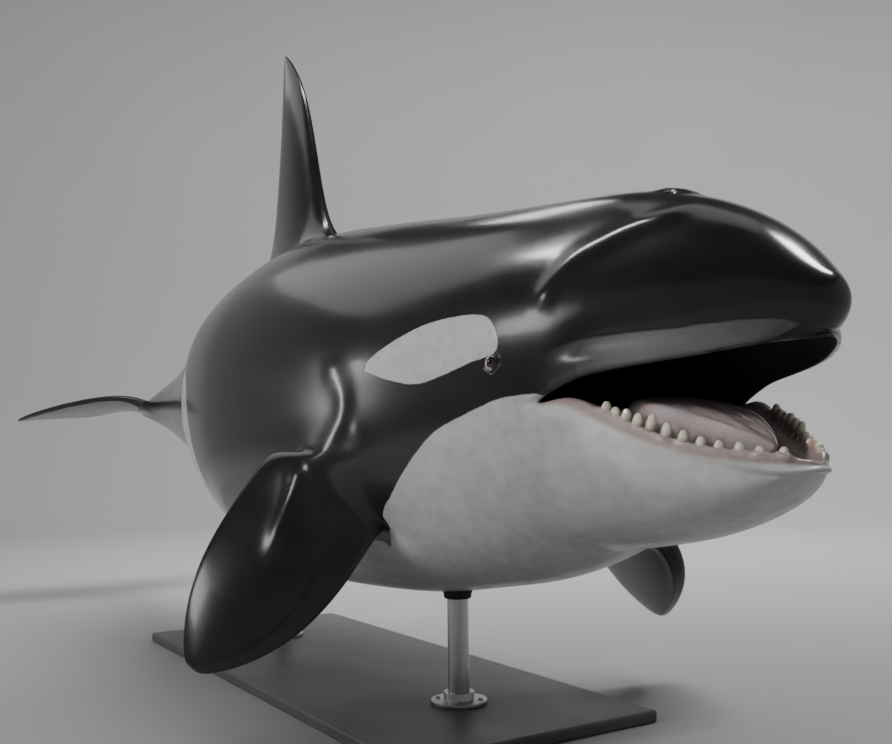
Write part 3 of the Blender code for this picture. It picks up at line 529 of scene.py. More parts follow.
def growFlipper(cage, rings):
    # grows from the two rows of faces left out between its rings
    root, span = Vector(flipper["root"]), Vector(flipper["span"]).normalized()
    chord = Vector(flipper["chord"])
    chord = (chord - span * chord.dot(span)).normalized()
    out = chord.cross(span).normalized()
    if out.z < 0:
        out = -out
    sections = []
    for share, thick in zip(flipper["sections"], flipper["halfThick"]):
        half = float(flipperHalfChord(share))
        middle = root + span * flipper["length"] * share + chord * flipper["setBack"]
        front = middle - chord * (half - flipper["rootBend"] * (1 - share) ** 2)
        rear = middle + chord * (half + flipper["shoulder"] * (1 - share) ** 4)
        sections.append((front, rear, out, thick))
    a, b, c, d = rings
    paddle(cage, [a[8], a[7], a[6], b[6], c[6], d[6], d[7], d[8], c[8], b[8]], sections, flipper["swell"])


def growFluke(cage, rings):
    # the same at the tail, pitched about the tail's end
    sections = []
    for reach, front, rear, thick in zip(fluke["reach"], fluke["front"], fluke["rear"], fluke["halfThick"]):
        pitch = math.radians(fluke["pitch"]) * float(ease(reach, 0.05, 0.3))
        height = fluke["rise"]
        edges = []
        for s in (front, rear):
            arm = s - fluke["pivotS"]
            edges.append((fluke["pivotS"] + arm * math.cos(pitch), reach, height - arm * math.sin(pitch)))
        sections.append((*edges, (math.sin(pitch), 0.0, math.cos(pitch)), thick))
    a, b, c, d = rings
    paddle(cage, [a[5], a[4], b[4], c[4], d[4], d[5], d[6], c[6], b[6], a[6]], sections, fluke["swell"])


def halfCage():
    cage = Cage()
    upper, lower = upperMouthRings(cage), lowerMouthRings(cage)
    rings = bodyRings(cage)
    for (skinA, insideA), (skinB, insideB) in zip(upper, upper[1:]):
        cage.strip(skinA + insideA, skinB + insideB)
    for (skinA, insideA), (skinB, insideB) in zip(lower, lower[1:]):
        cage.strip(skinA, skinB)
        cage.strip([skinA[0]] + insideA, [skinB[0]] + insideB)
    snoutCap(cage, upper)
    chinCap(cage, lower)
    rows = body["upperRows"]
    cage.strip(upper[-1][0], rings[0][: rows + 1])
    cage.strip(lower[-1][0], rings[0][rows:])
    mouthPocket(cage, rings[0][rows], upper[-1], lower[-1])
    ringAt = dict(zip(body["rings"], rings))
    for (s, front), rear in zip(ringAt.items(), rings[1:]):
        skip = []
        if s in dorsalFin["rings"][:-1]:
            skip = [0]
        if s in flipper["rings"][:-1]:
            skip = [6, 7]
        if s in fluke["rings"][:-1]:
            skip = [4, 5]
        cage.strip(front, rear, skip)
    growDorsalFin(cage, [ringAt[s] for s in dorsalFin["rings"]])
    growFlipper(cage, [ringAt[s] for s in flipper["rings"]])
    growFluke(cage, [ringAt[s] for s in fluke["rings"]])
    tailCap(cage, rings[-1])
    return cage.bm


def onlySelect(obj):
    bpy.ops.object.select_all(action="DESELECT")
    obj.select_set(True)
    bpy.context.view_layer.objects.active = obj


def pick(obj, kind, chosen):
    # selects the chosen faces or vertices of an object, which stays in edit mode
    onlySelect(obj)
    bpy.ops.object.mode_set(mode="EDIT")
    bpy.ops.mesh.select_mode(type={"polygons": "FACE", "vertices": "VERT"}[kind])
    bpy.ops.mesh.select_all(action="DESELECT")
    bpy.ops.object.mode_set(mode="OBJECT")
    getattr(obj.data, kind).foreach_set("select", chosen)
    bpy.ops.object.mode_set(mode="EDIT")


def growOn(move, widen=None, **about):
    # extrudes what is selected, then widens or narrows it
    bpy.ops.mesh.extrude_region_move(TRANSFORM_OT_translate={"value": move})
    if widen:
        bpy.ops.transform.resize(value=widen, **about)


def faceOutwards():
    # turns every face outwards and leaves edit mode
    bpy.ops.mesh.select_all(action="SELECT")
    bpy.ops.mesh.normals_make_consistent(inside=False)
    bpy.ops.object.mode_set(mode="OBJECT")


def joinAll(pieces):
    onlySelect(pieces[0])
    for piece in pieces[1:]:
        piece.select_set(True)
    bpy.ops.object.join()
    return bpy.context.object


def applyAll(obj):
    onlySelect(obj)
    for modifier in list(obj.modifiers):
        bpy.ops.object.modifier_apply(modifier=modifier.name)


def smoothOff(obj, levels):
    step = obj.modifiers.new("smooth", "SUBSURF")
    step.levels = step.render_levels = levels
    applyAll(obj)


def points(obj):
    co = np.zeros(len(obj.data.vertices) * 3)
    obj.data.vertices.foreach_get("co", co)
    return co.reshape(-1, 3)


def normals(obj):
    out = np.zeros(len(obj.data.vertices) * 3)
    obj.data.vertex_normals.foreach_get("vector", out)
    return out.reshape(-1, 3)


def setPoints(obj, co):
    obj.data.vertices.foreach_set("co", co.ravel())
    obj.data.update()


def attribute(obj, name):
    out = np.zeros(len(obj.data.vertices))
    obj.data.attributes[name].data.foreach_get("value", out)
    return out


def setAttribute(obj, name, values):
    if name not in obj.data.attributes:
        obj.data.attributes.new(name, "FLOAT", "POINT")
    obj.data.attributes[name].data.foreach_set("value", np.asarray(values, np.float32))


def bodyPlace(co):
    # s behind the snout, side, height over the axis
    return body["noseX"] - co[:, 0], co[:, 1], co[:, 2] - body["axisZ"]


def bell(away, width):
    # 1 at nought, falling off softly on both sides
    return np.exp(-(away / width) ** 2)


def lineDistance(px, py, line):
    # distance to a polyline, and the side it is on: positive to its left
    best = np.full(px.shape, 1e9)
    side = np.ones(px.shape)
    for (ax, ay), (bx, by) in zip(line, line[1:]):
        dx, dy = bx - ax, by - ay
        t = np.clip(((px - ax) * dx + (py - ay) * dy) / (dx * dx + dy * dy), 0, 1)
        away = np.hypot(px - ax - dx * t, py - ay - dy * t)
        cross = dx * (py - ay) - dy * (px - ax)
        closer = away < best - 1e-9
        best = np.where(closer, away, best)
        side = np.where(closer, np.sign(cross), side)
    return best, side


def rounded(line, steps=6, closed=False):
    # a Catmull-Rom curve through a short list of 2D points
    pts = [np.array(p, float) for p in line]
    if closed:
        pts = [pts[-1]] + pts + pts[:2]
    else:
        pts = [2 * pts[0] - pts[1]] + pts + [2 * pts[-1] - pts[-2]]
    out = []
    for a, b, c, d in zip(pts, pts[1:], pts[2:], pts[3:]):
        for k in range(steps):
            t = k / steps
            out.append(0.5 * (2 * b + (c - a) * t + (2 * a - 5 * b + 4 * c - d) * t * t
                              + (3 * b - a - 3 * c + d) * t ** 3))
    out.append(pts[-2])
    return [tuple(p) for p in out]


def inside(px, py, outline):
    # even-odd test against a closed outline
    count = np.zeros(px.shape, int)
    for (ax, ay), (bx, by) in zip(outline, outline[1:] + outline[:1]):
        if ay != by:
            crosses = (ay > py) != (by > py)
            count += crosses & (px < (bx - ax) * (py - ay) / (by - ay) + ax)
    return count % 2 == 1


def depthInside(px, py, outline, edge=None):
    # distance to the outline, or to the part of it that counts as its edge; negative outside
    away, _ = lineDistance(px, py, edge or outline)
    return np.where(inside(px, py, outline), away, -away)


def raiseSkin():
    mesh = bpy.data.meshes.new("skin")
    half = halfCage()
    half.to_mesh(mesh)
    half.free()
    skin = bpy.data.objects.new("skin", mesh)
    bpy.context.scene.collection.objects.link(skin)
    mirror = skin.modifiers.new("mirror", "MIRROR")
    mirror.use_axis = (False, True, False)
    mirror.merge_threshold = 0.0001
    applyAll(skin)
    bpy.ops.object.mode_set(mode="EDIT")
    bpy.ops.mesh.select_all(action="SELECT")
    bpy.ops.mesh.delete_loose()
    faceOutwards()
    smoothOff(skin, body["detail"])
    skin.data.shade_smooth()
    return skin


def refine(skin, wanted):
    # one finer step where wanted(s, y, z, lining) holds at a face's middle
    lining = attribute(skin, "lining")
    middles = np.zeros(len(skin.data.polygons) * 3)
    skin.data.polygons.foreach_get("center", middles)
    firstCorner = np.zeros(len(skin.data.polygons), np.int32)
    skin.data.polygons.foreach_get("loop_start", firstCorner)
    cornerVert = np.zeros(len(skin.data.loops), np.int32)
    skin.data.loops.foreach_get("vertex_index", cornerVert)
    s, y, z = bodyPlace(middles.reshape(-1, 3))
    pick(skin, "polygons", wanted(s, y, z, lining[cornerVert[firstCorner]]))
    bpy.ops.mesh.subdivide(number_cuts=1, smoothness=1.0)
    bpy.ops.object.mode_set(mode="OBJECT")


eyes = {
    "s": 0.730,
    "z": -0.037,
    "radius": 0.0265,
    "sink": 0.0205,       # centre below the skin
    "cut": 0.037,
    "halfLength": 0.0165,
    "halfHeight": 0.0120,
    "pointed": 1.75,      # 2 is an ellipse, less has pointed corners
    "tilt": 14.0,
    "bend": 0.0,
    "upperLid": 0.30,
    # the clear front, in radii: where it starts, how far it stands out, how wide its edge blends
    "cornea": (0.78, 0.05, 0.5),
    # share of the way from the cut's rim to the opening, height over the skin
    "outside": ((0.18, 0.0), (0.36, 0.0004), (0.52, -0.0006), (0.64, -0.0014), (0.74, 0.0004),
                (0.83, 0.0024), (0.91, 0.0040), (0.97, 0.0044), (1.0, 0.0036)),
    # size inside the opening, height
    "inside": ((0.97, 0.0020), (0.965, -0.0015), (0.97, -0.0070), (0.75, -0.0150), (0.35, -0.0180)),
}

blowhole = {
    "s": 0.47,
    "cut": 0.085,
    "halfLength": 0.044,
    "halfHeight": 0.015,
    "pointed": 1.8,
    "tilt": 0.0,
    "bend": 9.0,
    "upperLid": 0.0,
    "outside": ((0.15, 0.0005), (0.35, 0.0025), (0.55, 0.006), (0.75, 0.0095), (0.90, 0.0105), (1.0, 0.008)),
    "inside": ((0.94, 0.003), (0.90, -0.007), (0.84, -0.012), (0.70, -0.0105), (0.35, -0.006)),
}


def sinkOpening(skin, spec, centre, outward, along):
    # cuts the skin open round a place, then closes it with rings of lids and a sunken bottom
    bm = bmesh.new()
    bm.from_mesh(skin.data)
    tree = BVHTree.FromBMesh(bm)
    outward = outward.normalized()
    along = (along - outward * along.dot(outward)).normalized()
    across = outward.cross(along)
    turn = Matrix.Rotation(math.radians(spec["tilt"]), 3, outward)
    along, across = turn @ along, turn @ across
    near = [f for f in bm.faces if (f.calc_center_median() - centre).length < spec["cut"]]
    bmesh.ops.delete(bm, geom=near, context="FACES")
    edges = [e for e in bm.edges if e.is_boundary and (e.verts[0].co - centre).length < spec["cut"] * 2]
    rim = [edges[0].verts[0]]
    vert, edge = edges[0].verts[1], edges[0]
    while vert is not rim[0]:
        rim.append(vert)
        edge = next(e for e in vert.link_edges if e.is_boundary and e is not edge)
        vert = edge.other_vert(vert)
    area = sum(
        (rim[i].co - centre).cross(rim[(i + 1) % len(rim)].co - centre).dot(outward) for i in range(len(rim))
    )
    if area < 0:
        rim.reverse()
    polar = []
    for vert in rim:
        u, v = (vert.co - centre).dot(along), (vert.co - centre).dot(across)
        polar.append((math.hypot(u, v), math.atan2(v, u)))

    def opening(angle):
        c, k = abs(math.cos(angle)) / spec["halfLength"], abs(math.sin(angle)) / spec["halfHeight"]
        return (c ** spec["pointed"] + k ** spec["pointed"]) ** (-1 / spec["pointed"])

    def onSkin(reach, angle, height, follow):
        u, v = reach * math.cos(angle), reach * math.sin(angle)
        v -= spec["bend"] * u * u * follow
        start = centre + along * u + across * v
        hit = tree.ray_cast(start + outward * 0.1, -outward)[0]
        lid = height * (1 + spec["upperLid"] * math.sin(angle)) if height > 0 else height
        return hit + outward * lid

    levels = []
    for share, height in spec["outside"]:
        levels.append([((r + (opening(a) - r) * share), a, height, share) for r, a in polar])
    for size, height in spec["inside"]:
        levels.append([(opening(a) * size, a, height, 1.0) for _, a in polar])
    previous = rim
    for level in levels:
        ring = [bm.verts.new(onSkin(*place)) for place in level]
        for i in range(len(rim)):
            j = (i + 1) % len(rim)
            bm.faces.new((previous[i], previous[j], ring[j], ring[i])).smooth = True
        previous = ring
    bottom = bm.verts.new(sum((v.co for v in previous), Vector()) / len(previous))
    for i in range(len(rim)):
        bm.faces.new((previous[i], previous[(i + 1) % len(rim)], bottom)).smooth = True
    bm.to_mesh(skin.data)
    bm.free()


def skinHit(skin, start, direction):
    bpy.context.view_layer.update()
    hit, place, normal, _ = skin.ray_cast(start, direction)
    assert hit, "the ray misses the skin"
    return place, normal


lips = {
    # the fold above the upper lip: s, height
    "fold": (
        (0.56, -0.02), (0.44, 0.004), (0.31, 0.008), (0.223, 0.014), (0.151, 0.020), (0.090, 0.020),
        (0.062, 0.010), (0.040, -0.006), (0.020, -0.024), (0.0, -0.040), (-0.03, -0.044),
    ),
    "foldDepth": 0.013,
    "foldAbove": 0.011,     # how quickly the fold's upper side comes out again
    "foldEase": 0.02,
    "bandOut": 0.009,       # the lip below the fold stands out, facing a little upwards
    "bandHeight": 0.058,
    "melonHollow": 0.009,
    "melonAbove": 0.045,
    "fadeS": (0.40, 0.58),
    # a short crease low on the front of the lip
    "crease": ((0.175, -0.043), (0.13, -0.036), (0.095, -0.022), (0.070, -0.004)),
    "creaseDepth": 0.005,
    "creaseWidth": 0.006,
    # height between the upper lip and the open mouth, for shape and for paint
    "mouthTop": ((-0.1, -0.10), (0.42, -0.115), (0.58, -0.134)),
    "paintTop": ((-0.1, -0.10), (0.42, -0.115), (0.62, -0.155)),
    # over which distances the band of painted highlight begins below the fold, above the mouth and behind the
    # crease
    "bandFold": (-0.001, 0.004),
    "bandMouth": (0.0, 0.01),
    "bandCrease": (-0.004, 0.003),
    "bandStart": (0.045, 0.075),
    "bandEnd": (0.30, 0.62),
    "creaseEndS": 0.20,
    "endS": 0.70,           # nothing of the lips reaches further back
}

corner = {
    "crease": ((0.560, -0.128), (0.590, -0.139), (0.622, -0.143), (0.652, -0.139)),
    "depth": 0.007,
    "width": 0.006,
    "ridge": (0.35, 0.013, 0.009),      # share of the depth, distance from the crease, width
    "hump": (0.545, -0.178),
    "humpSize": (0.055, 0.030),
    "humpRise": 0.010,
    "apart": 0.2,       # only this far from the body's middle
}

lipRim = {
    # the sharp outer edge of the lower lip in the opened jaw: s, height
    "line": (
        (0.42, -0.200), (0.35, -0.224), (0.293, -0.247), (0.236, -0.268), (0.189, -0.291), (0.151, -0.305),
        (0.118, -0.312), (0.083, -0.312), (0.04, -0.306),
    ),
    "rise": 0.005,
    "width": 0.007,
    "hollow": 0.008,
    "hollowBelow": 0.014,
    "hollowFade": 0.050,
    "fadeS": (0.26, 0.40),
    "below": -0.12,         # nothing above this height belongs to the lower lip
}

# soft ridges seen from the side: s and height along the crest, rise, width, least distance from the middle
ridges = {
    "temple": (
        ((0.58, 0.125), (0.551, 0.168), (0.513, 0.208), (0.455, 0.238), (0.395, 0.268), (0.34, 0.285)),
        0.009, 0.034, 0.0,
    ),
    "neckFold": (
        ((1.42, -0.01), (1.385, -0.045), (1.35, -0.09), (1.348, -0.125), (1.362, -0.165), (1.41, -0.215),
         (1.44, -0.245)),
        0.0055, 0.042, 0.2,
    ),
    "armpitFold": (((1.285, -0.20), (1.262, -0.25), (1.275, -0.29)), 0.0035, 0.030, 0.2),
}


def shapeHead(skin):
    # moves the skin along its normals for the folds of lips, corner, temple and neck
    co, out = points(skin), normals(skin)
    s, y, z = bodyPlace(co)
    outer = 1 - ease(attribute(skin, "lining"), 0.05, 0.5)
    atSide = np.abs(y) > corner["apart"]
    head = outer * (z > np.interp(s, *zip(*lips["mouthTop"]))) * (s < lips["endS"])
    away, side = lineDistance(s, z, rounded(lips["fold"]))
    d = away * -side
    lasting = head * (1 - ease(s, *lips["fadeS"]))
    band = -lips["foldDepth"] + (lips["foldDepth"] + lips["bandOut"]) * ease(-d, 0.0, lips["bandHeight"])
    melon = -lips["foldDepth"] * bell(d, lips["foldAbove"])
    melon -= lips["melonHollow"] * ease(d, 0.0, lips["foldEase"]) * bell(d, lips["melonAbove"])
    total = np.where(d > 0, melon, band) * lasting
    away, _ = lineDistance(s, z, rounded(lips["crease"]))
    total -= lips["creaseDepth"] * bell(away, lips["creaseWidth"]) * head
    away, _ = lineDistance(s, z, rounded(corner["crease"]))
    share, beside, wide = corner["ridge"]
    ridge = bell(away - beside, wide) * share
    total += corner["depth"] * outer * (ridge - bell(away, corner["width"])) * atSide
    (humpS, humpZ), (length, height) = corner["hump"], corner["humpSize"]
    hump = bell(s - humpS, length) * bell(z - humpZ, height)
    total += corner["humpRise"] * hump * outer * atSide
    for crest, rise, width, apart in ridges.values():
        away, _ = lineDistance(s, z, rounded(crest))
        total += rise * bell(away, width) * outer * (np.abs(y) >= apart)
    away, side = lineDistance(s, z, rounded(lipRim["line"]))
    d = away * side
    lasting = outer * (1 - ease(s, *lipRim["fadeS"])) * (z < lipRim["below"])
    edge = lipRim["rise"] * bell(d, lipRim["width"])
    edge -= lipRim["hollow"] * ease(d, 0.0, lipRim["hollowBelow"]) * bell(d, lipRim["hollowFade"])
    setPoints(skin, co + out * (total + edge * lasting)[:, None])


def markLipHighlight(skin):
    # 1 on the upper lip's band, which is painted paler as a painted highlight where light catches the lip,
    # and made duller
    s, _, z = bodyPlace(points(skin))
    away, side = lineDistance(s, z, rounded(lips["fold"]))
    above = z - np.interp(s, *zip(*lips["paintTop"]))
    band = ease(away * side, *lips["bandFold"]) * ease(above, *lips["bandMouth"])
    band = band * ease(s, *lips["bandStart"]) * (1 - ease(s, *lips["bandEnd"]))
    away, side = lineDistance(s, z, rounded(lips["crease"]))
    below = ease(away * side, *lips["bandCrease"]) * (s < lips["creaseEndS"])
    setAttribute(skin, "band", band * (1 - below))


def flipperFrame(side):
    span = Vector((-flipper["span"][0], side * flipper["span"][1], flipper["span"][2])).normalized()
    chord = Vector((-flipper["chord"][0], side * flipper["chord"][1], flipper["chord"][2]))
    chord = (chord - span * chord.dot(span)).normalized()
    s, y, z = flipper["root"]
    return world(s, side * y, z), chord, span


def flipperPlace(co, side):
    root, chord, span = flipperFrame(side)
    arm = co - np.array(root)
    reach = arm @ np.array(span)
    away = np.linalg.norm(arm - reach[:, None] * np.array(span), axis=1)
    return reach, arm @ np.array(chord), away < flipper["twistRadius"]


flipperRidge = {
    "fromEdge": (0.112, 0.030),
    "rise": 0.006,
    "width": 0.012,
    "reach": (0.10, 0.22, 0.60, 0.70),
    # the arm's ridge: distance from the root, and across from the middle
    "arm": ((-0.02, 0.150), (0.02, 0.125), (0.09, 0.094), (0.151, 0.072), (0.214, 0.052), (0.30, 0.018)),
    "armRise": 0.012,
    "armWidth": 0.032,
    "armStart": (0.0, 0.06),
    "armFade": (0.20, 0.34),
}


def shapeFlippers(skin):
    # a low ridge behind the leading edge; the left flipper is then turned about its span
    co, out, limb = points(skin), normals(skin), ease(attribute(skin, "limb"), *flipper["limbEdge"])
    total = np.zeros(len(co))
    for side in (1, -1):
        reach, across, near = flipperPlace(co, side)
        near = (near & (co[:, 1] * side > 0)) * limb
        share = np.clip(reach / flipper["length"], 0, 1)
        edge = across - flipper["setBack"] + flipperHalfChord(share) - flipper["rootBend"] * (1 - share) ** 2
        start, full, fade, end = flipperRidge["reach"]
        lasting = near * ease(reach, start, full) * (1 - ease(reach, fade, end))
        d = edge - np.interp(share, (0, 1), flipperRidge["fromEdge"])
        total += lasting * flipperRidge["rise"] * bell(d, flipperRidge["width"])
        away, _ = lineDistance(reach, across, rounded(flipperRidge["arm"]))
        onTop = near * (out @ np.cross(*map(np.array, flipperFrame(side)[1:])) * side < 0)
        arm = flipperRidge["armRise"] * bell(away, flipperRidge["armWidth"])
        arm = arm * onTop * ease(reach, *flipperRidge["armStart"])
        total += arm * (1 - ease(reach, *flipperRidge["armFade"]))
    co = co + out * total[:, None]
    root, _, span = flipperFrame(1)
    reach, _, near = flipperPlace(co, 1)
    near = (near & (co[:, 1] > 0)) * limb
    turn = np.radians(flipper["leftTwist"]) * ease(reach, *flipper["leftTurns"])
    rootShift, tipShift = flipper["leftForward"]
    atTip = ease(reach, *flipper["leftTip"])
    forward = rootShift * ease(reach, *flipper["leftRoot"]) + tipShift * atTip
    axis, arm = np.array(span), co - np.array(root)
    c, k = np.cos(turn)[:, None], np.sin(turn)[:, None]
    turned = arm * c + np.cross(axis, arm) * k + axis * (arm @ axis)[:, None] * (1 - c)
    turned += np.array(root) + np.stack([forward, 0 * forward, -flipper["leftDrop"] * atTip], 1)
    setPoints(skin, co + (turned - co) * near[:, None])


skin = raiseSkin()
print("skin raised:", len(skin.data.polygons), "faces")


# where the skin's mesh is made finer, and how far from the body's middle at least
finer = {
    "lips": (0.59, -0.145, 0.055),      # up to this s, between these heights
    "gums": (0.55, -0.15),              # up to this s, below this height
    "corner": (0.58, -0.14, 0.08),      # s, height, radius
    "rim": 0.021,
    "eyes": 0.08,
    "blowhole": (0.11, 0.3),            # radius, and above this height
    "apart": 0.2,
}


def nearLips(s, y, z, lining):
    lipEnd, low, high = finer["lips"]
    gumEnd, gumTop = finer["gums"]
    cornerS, cornerZ, radius = finer["corner"]
    band = (s < lipEnd) & (z > low) & (z < high) & (lining < 0.9)
    gum = (lining > 0.3) & (s < gumEnd) & (z < gumTop)
    return band | gum | ((np.hypot(s - cornerS, z - cornerZ) < radius) & (np.abs(y) > finer["apart"]))


def nearRim(s, y, z, lining):
    away, _ = lineDistance(s, z, lipRim["line"])
    return (away < finer["rim"]) & (s < lipRim["line"][0][0]) & (z < finer["gums"][1]) & (lining < 0.5)


def nearEyes(s, y, z, lining):
    return (np.hypot(s - eyes["s"], z - eyes["z"]) < finer["eyes"]) & (np.abs(y) > finer["apart"])


def nearBlowhole(s, y, z, lining):
    radius, low = finer["blowhole"]
    return (np.hypot(s - blowhole["s"], y) < radius) & (z > low)


for wanted in (nearLips, nearRim, nearEyes, nearBlowhole):
    refine(skin, wanted)
shapeHead(skin)
shapeFlippers(skin)
print("head and flippers shaped:", len(skin.data.polygons), "faces")

eyePlaces = {}
for side, name in ((1, "left"), (-1, "right")):
    place, _ = skinHit(skin, world(eyes["s"], side * 2.0, eyes["z"]), Vector((0, -side, 0)))
    outward = (place - world(eyes["s"] + 0.25, 0.0, eyes["z"] - 0.05)).normalized()
    eyePlaces[name] = (place, outward)
    sinkOpening(skin, eyes, place, outward, Vector((1, 0, 0)))
top, _ = skinHit(skin, world(blowhole["s"], 0.0, 2.0), Vector((0, 0, -1)))
sinkOpening(skin, blowhole, top, Vector((0.12, 0, 1)), Vector((0, 1, 0)))
print("eyelids and blowhole opened")


markings = {
    # eye patch outline: s, height
    "eyePatch": (
        (1.257, -0.015), (1.18, 0.032), (1.015, 0.084), (0.86, 0.097), (0.763, 0.084), (0.719, 0.035),
        (0.722, -0.012), (0.80, -0.030), (0.905, -0.058), (1.015, -0.076), (1.13, -0.058), (1.21, -0.036),
    ),
    # upper edge of the white underside from the jaw back: s, degrees round the section (0 side, -90 belly)
    "belly": (
        (-0.3, -8.0), (0.3, -9.0), (0.52, -7.0), (0.6, -5.6), (0.706, -5.2), (0.782, -6.6), (0.887, -9.1),
        (0.948, -10.8), (0.988, -12.9), (1.058, -17.3), (1.136, -22.8), (1.206, -28.0), (1.268, -32.0),
        (1.31, -36.5), (1.338, -42.0), (1.362, -47.0), (1.4, -45.0), (1.52, -44.5), (1.68, -51.0),
        (1.9, -63.0), (2.2, -68.0), (2.5, -64.0), (2.68, -46.0), (2.77, -24.0), (2.83, -5.0), (2.9, 6.0),
        (3.02, 11.0), (3.16, 9.0), (3.3, 0.0), (3.36, -14.0), (3.34, -34.0), (3.28, -48.0), (3.32, -58.0),
        (3.45, -67.0), (3.75, -75.0), (4.1, -82.0), (4.3, -95.0),
    ),
    "girth": 0.50,          # metres to a radian round the section
    "closing": -3.0,        # closes the white's outline well past the belly's middle
    # outline of the grey patch behind the fin, as the belly's edge is given
    "saddle": (
        (3.02, 62.0), (3.16, 42.0), (3.42, 28.0), (3.78, 24.0), (3.98, 30.0), (3.86, 46.0), (3.66, 66.0),
        (3.62, 96.0), (3.20, 96.0),
    ),
    "saddleRise": 0.13,     # the saddle climbs the fin's root this far
    "flukeMargin": (0.040, 0.016, 0.05),
    "flukeStart": (4.9, 0.13),          # s, and distance from the middle
    # the white's edge along the mouth, and the s over which it takes over from the belly's edge
    "jawEdge": ((-0.1, -0.17), (0.42, -0.14), (0.56, -0.132), (0.60, -0.136)),
    "jawEdgeStart": (0.60, 0.56),
    "limbEdge": (0.80, 0.25),           # limb value where the flippers' black starts, metres to a whole step
    "patchApart": 0.15,
    "spread": 0.12,
}


def girthAngle(s, y, z):
    # radians round the section, 0 at the side and negative below
    steps = np.linspace(0.0, 5.4, 541)      # every centimetre of the body
    curves = (topOf, bottomOf, halfWidthOf)
    top, bottom, width = (np.interp(s, steps, [curve(step) for step in steps]) for curve in curves)
    up = np.clip((z - (top + bottom) / 2) / ((top - bottom) / 2), -2, 2)
    up = np.sign(up) * np.abs(up) ** (body["power"] / 2)
    across = np.abs(y / width) ** (body["power"] / 2)
    return np.arctan2(up, across)


def markSkin(skin):
    # stores the distance to the edge of the white and of the saddle, positive inside
    co, out = points(skin), normals(skin)
    s, y, z = bodyPlace(co)
    spread, girth = markings["spread"], markings["girth"]
    eyePatch = depthInside(s, z, rounded(markings["eyePatch"], closed=True))
    eyePatch = np.where(np.abs(y) > markings["patchApart"], eyePatch, -spread)
    around = girthAngle(s, y, z) * girth
    line = [(p, math.radians(a) * girth) for p, a in rounded(markings["belly"])]
    underneath = [(line[i][0], markings["closing"]) for i in (-1, 0)]
    belly = depthInside(s, around, line + underneath, line)
    jawEdge = np.interp(s, *zip(*markings["jawEdge"])) - z
    alongMouth = ease(s, *markings["jawEdgeStart"])
    belly = belly * (1 - alongMouth) + jawEdge * alongMouth
    limbStart, limbStep = markings["limbEdge"]
    belly = np.minimum(belly, (limbStart - attribute(skin, "limb")) * limbStep)
    front = np.interp(np.abs(y), fluke["reach"], fluke["front"])
    rear = np.interp(np.abs(y), fluke["reach"], fluke["rear"])
    lead, trail, tipward = markings["flukeMargin"]
    flukeS, flukeY = markings["flukeStart"]
    toTip = fluke["reach"][-1] - tipward - np.abs(y)
    under = np.minimum.reduce([s - front - lead, rear - trail - s, np.abs(y) - flukeY, toTip])
    under = np.where((s > flukeS) & (out[:, 2] < 0), under, -spread)
    white = np.maximum.reduce([eyePatch, belly * (s < flukeS) - spread * (s >= flukeS), under])
    setAttribute(skin, "white", np.clip(white, -spread, spread))
    saddle = [(p, math.radians(a) * girth) for p, a in rounded(markings["saddle"], closed=True)]
    onBack = depthInside(s, around, saddle)
    onBack = np.where(z < topOf(dorsalFin["rings"][-1]) + markings["saddleRise"], onBack, -spread)
    setAttribute(skin, "saddle", np.clip(onBack, -spread, spread))


teeth = {
    "s": (0.076, 0.112, 0.146, 0.180, 0.214, 0.249, 0.285, 0.320, 0.352, 0.381, 0.409, 0.435),
    "inset": 0.042,
    "sink": 0.030,
    "rise": (0.017, 0.021, 0.022, 0.025, 0.024, 0.031, 0.040, 0.042, 0.035, 0.027, 0.022, 0.019),
    "radius": 0.014,
    "vary": 0.05,       # share by which a tooth's width and height differ
    "sides": 14,
    # share of the height, share of the radius, lean backwards in radii
    "profile": (
        (0.0, 0.92, 0.0), (0.35, 1.0, 0.0), (0.58, 0.95, 0.03), (0.78, 0.80, 0.10), (0.92, 0.58, 0.18),
        (0.985, 0.30, 0.22),
    ),
}


def carveTooth():
    # one tooth a unit high and a unit round, standing on z = 0
    profile = teeth["profile"]
    bpy.ops.mesh.primitive_circle_add(vertices=teeth["sides"], radius=profile[0][1], fill_type="NGON")
    tooth = bpy.context.object
    bpy.ops.object.mode_set(mode="EDIT")
    bpy.ops.mesh.select_all(action="SELECT")
    for (low, wide, leanLow), (high, narrow, lean) in zip(profile, profile[1:]):
        growOn((lean - leanLow, 0, high - low), (narrow / wide, narrow / wide, 1))
    bpy.ops.mesh.merge(type="CENTER")
    faceOutwards()
    smoothOff(tooth, 1)
    tooth.data.shade_smooth()
    setAttribute(tooth, "crown", points(tooth)[:, 2])
    return tooth


def toothPlace(number):
    # foot and tip in the opened jaw, on the left side
    s, rise = teeth["s"][number], teeth["rise"][number]
    y, z = lipInset(lipHalfWidth(s), teeth["inset"]), gumHeightOf(s)
    back = jawSetBack(s)
    foot = openJaw((s + back, y, z - teeth["sink"]))
    tip = openJaw((s + back, y, z + rise))
    return foot, tip


def setTeeth():
    pattern = carveTooth()
    copies = []
    radius = teeth["radius"]
    for number in range(len(teeth["s"])):
        foot, tip = toothPlace(number)
        for side in (1, -1):
            low, high = world(foot[0], side * foot[1], foot[2]), world(tip[0], side * tip[1], tip[2])
            axis = (high - low).normalized()
            back = Vector((-1, 0, 0))
            back = (back - axis * back.dot(axis)).normalized()
            turn = Matrix((back, axis.cross(back), axis)).transposed().to_4x4()
            wobble = 1 + teeth["vary"] * math.sin(number * 2.7 + side)
            size = Matrix.Diagonal((radius * wobble, radius, (high - low).length * (2 - wobble), 1))
            mesh = pattern.data.copy()
            mesh.transform(Matrix.Translation(low) @ turn @ size)
            tooth = bpy.data.objects.new("tooth", mesh)
            bpy.context.scene.collection.objects.link(tooth)
            copies.append(tooth)
    bpy.data.objects.remove(pattern)
    joined = joinAll(copies)
    joined.name = "teeth"
    return joined


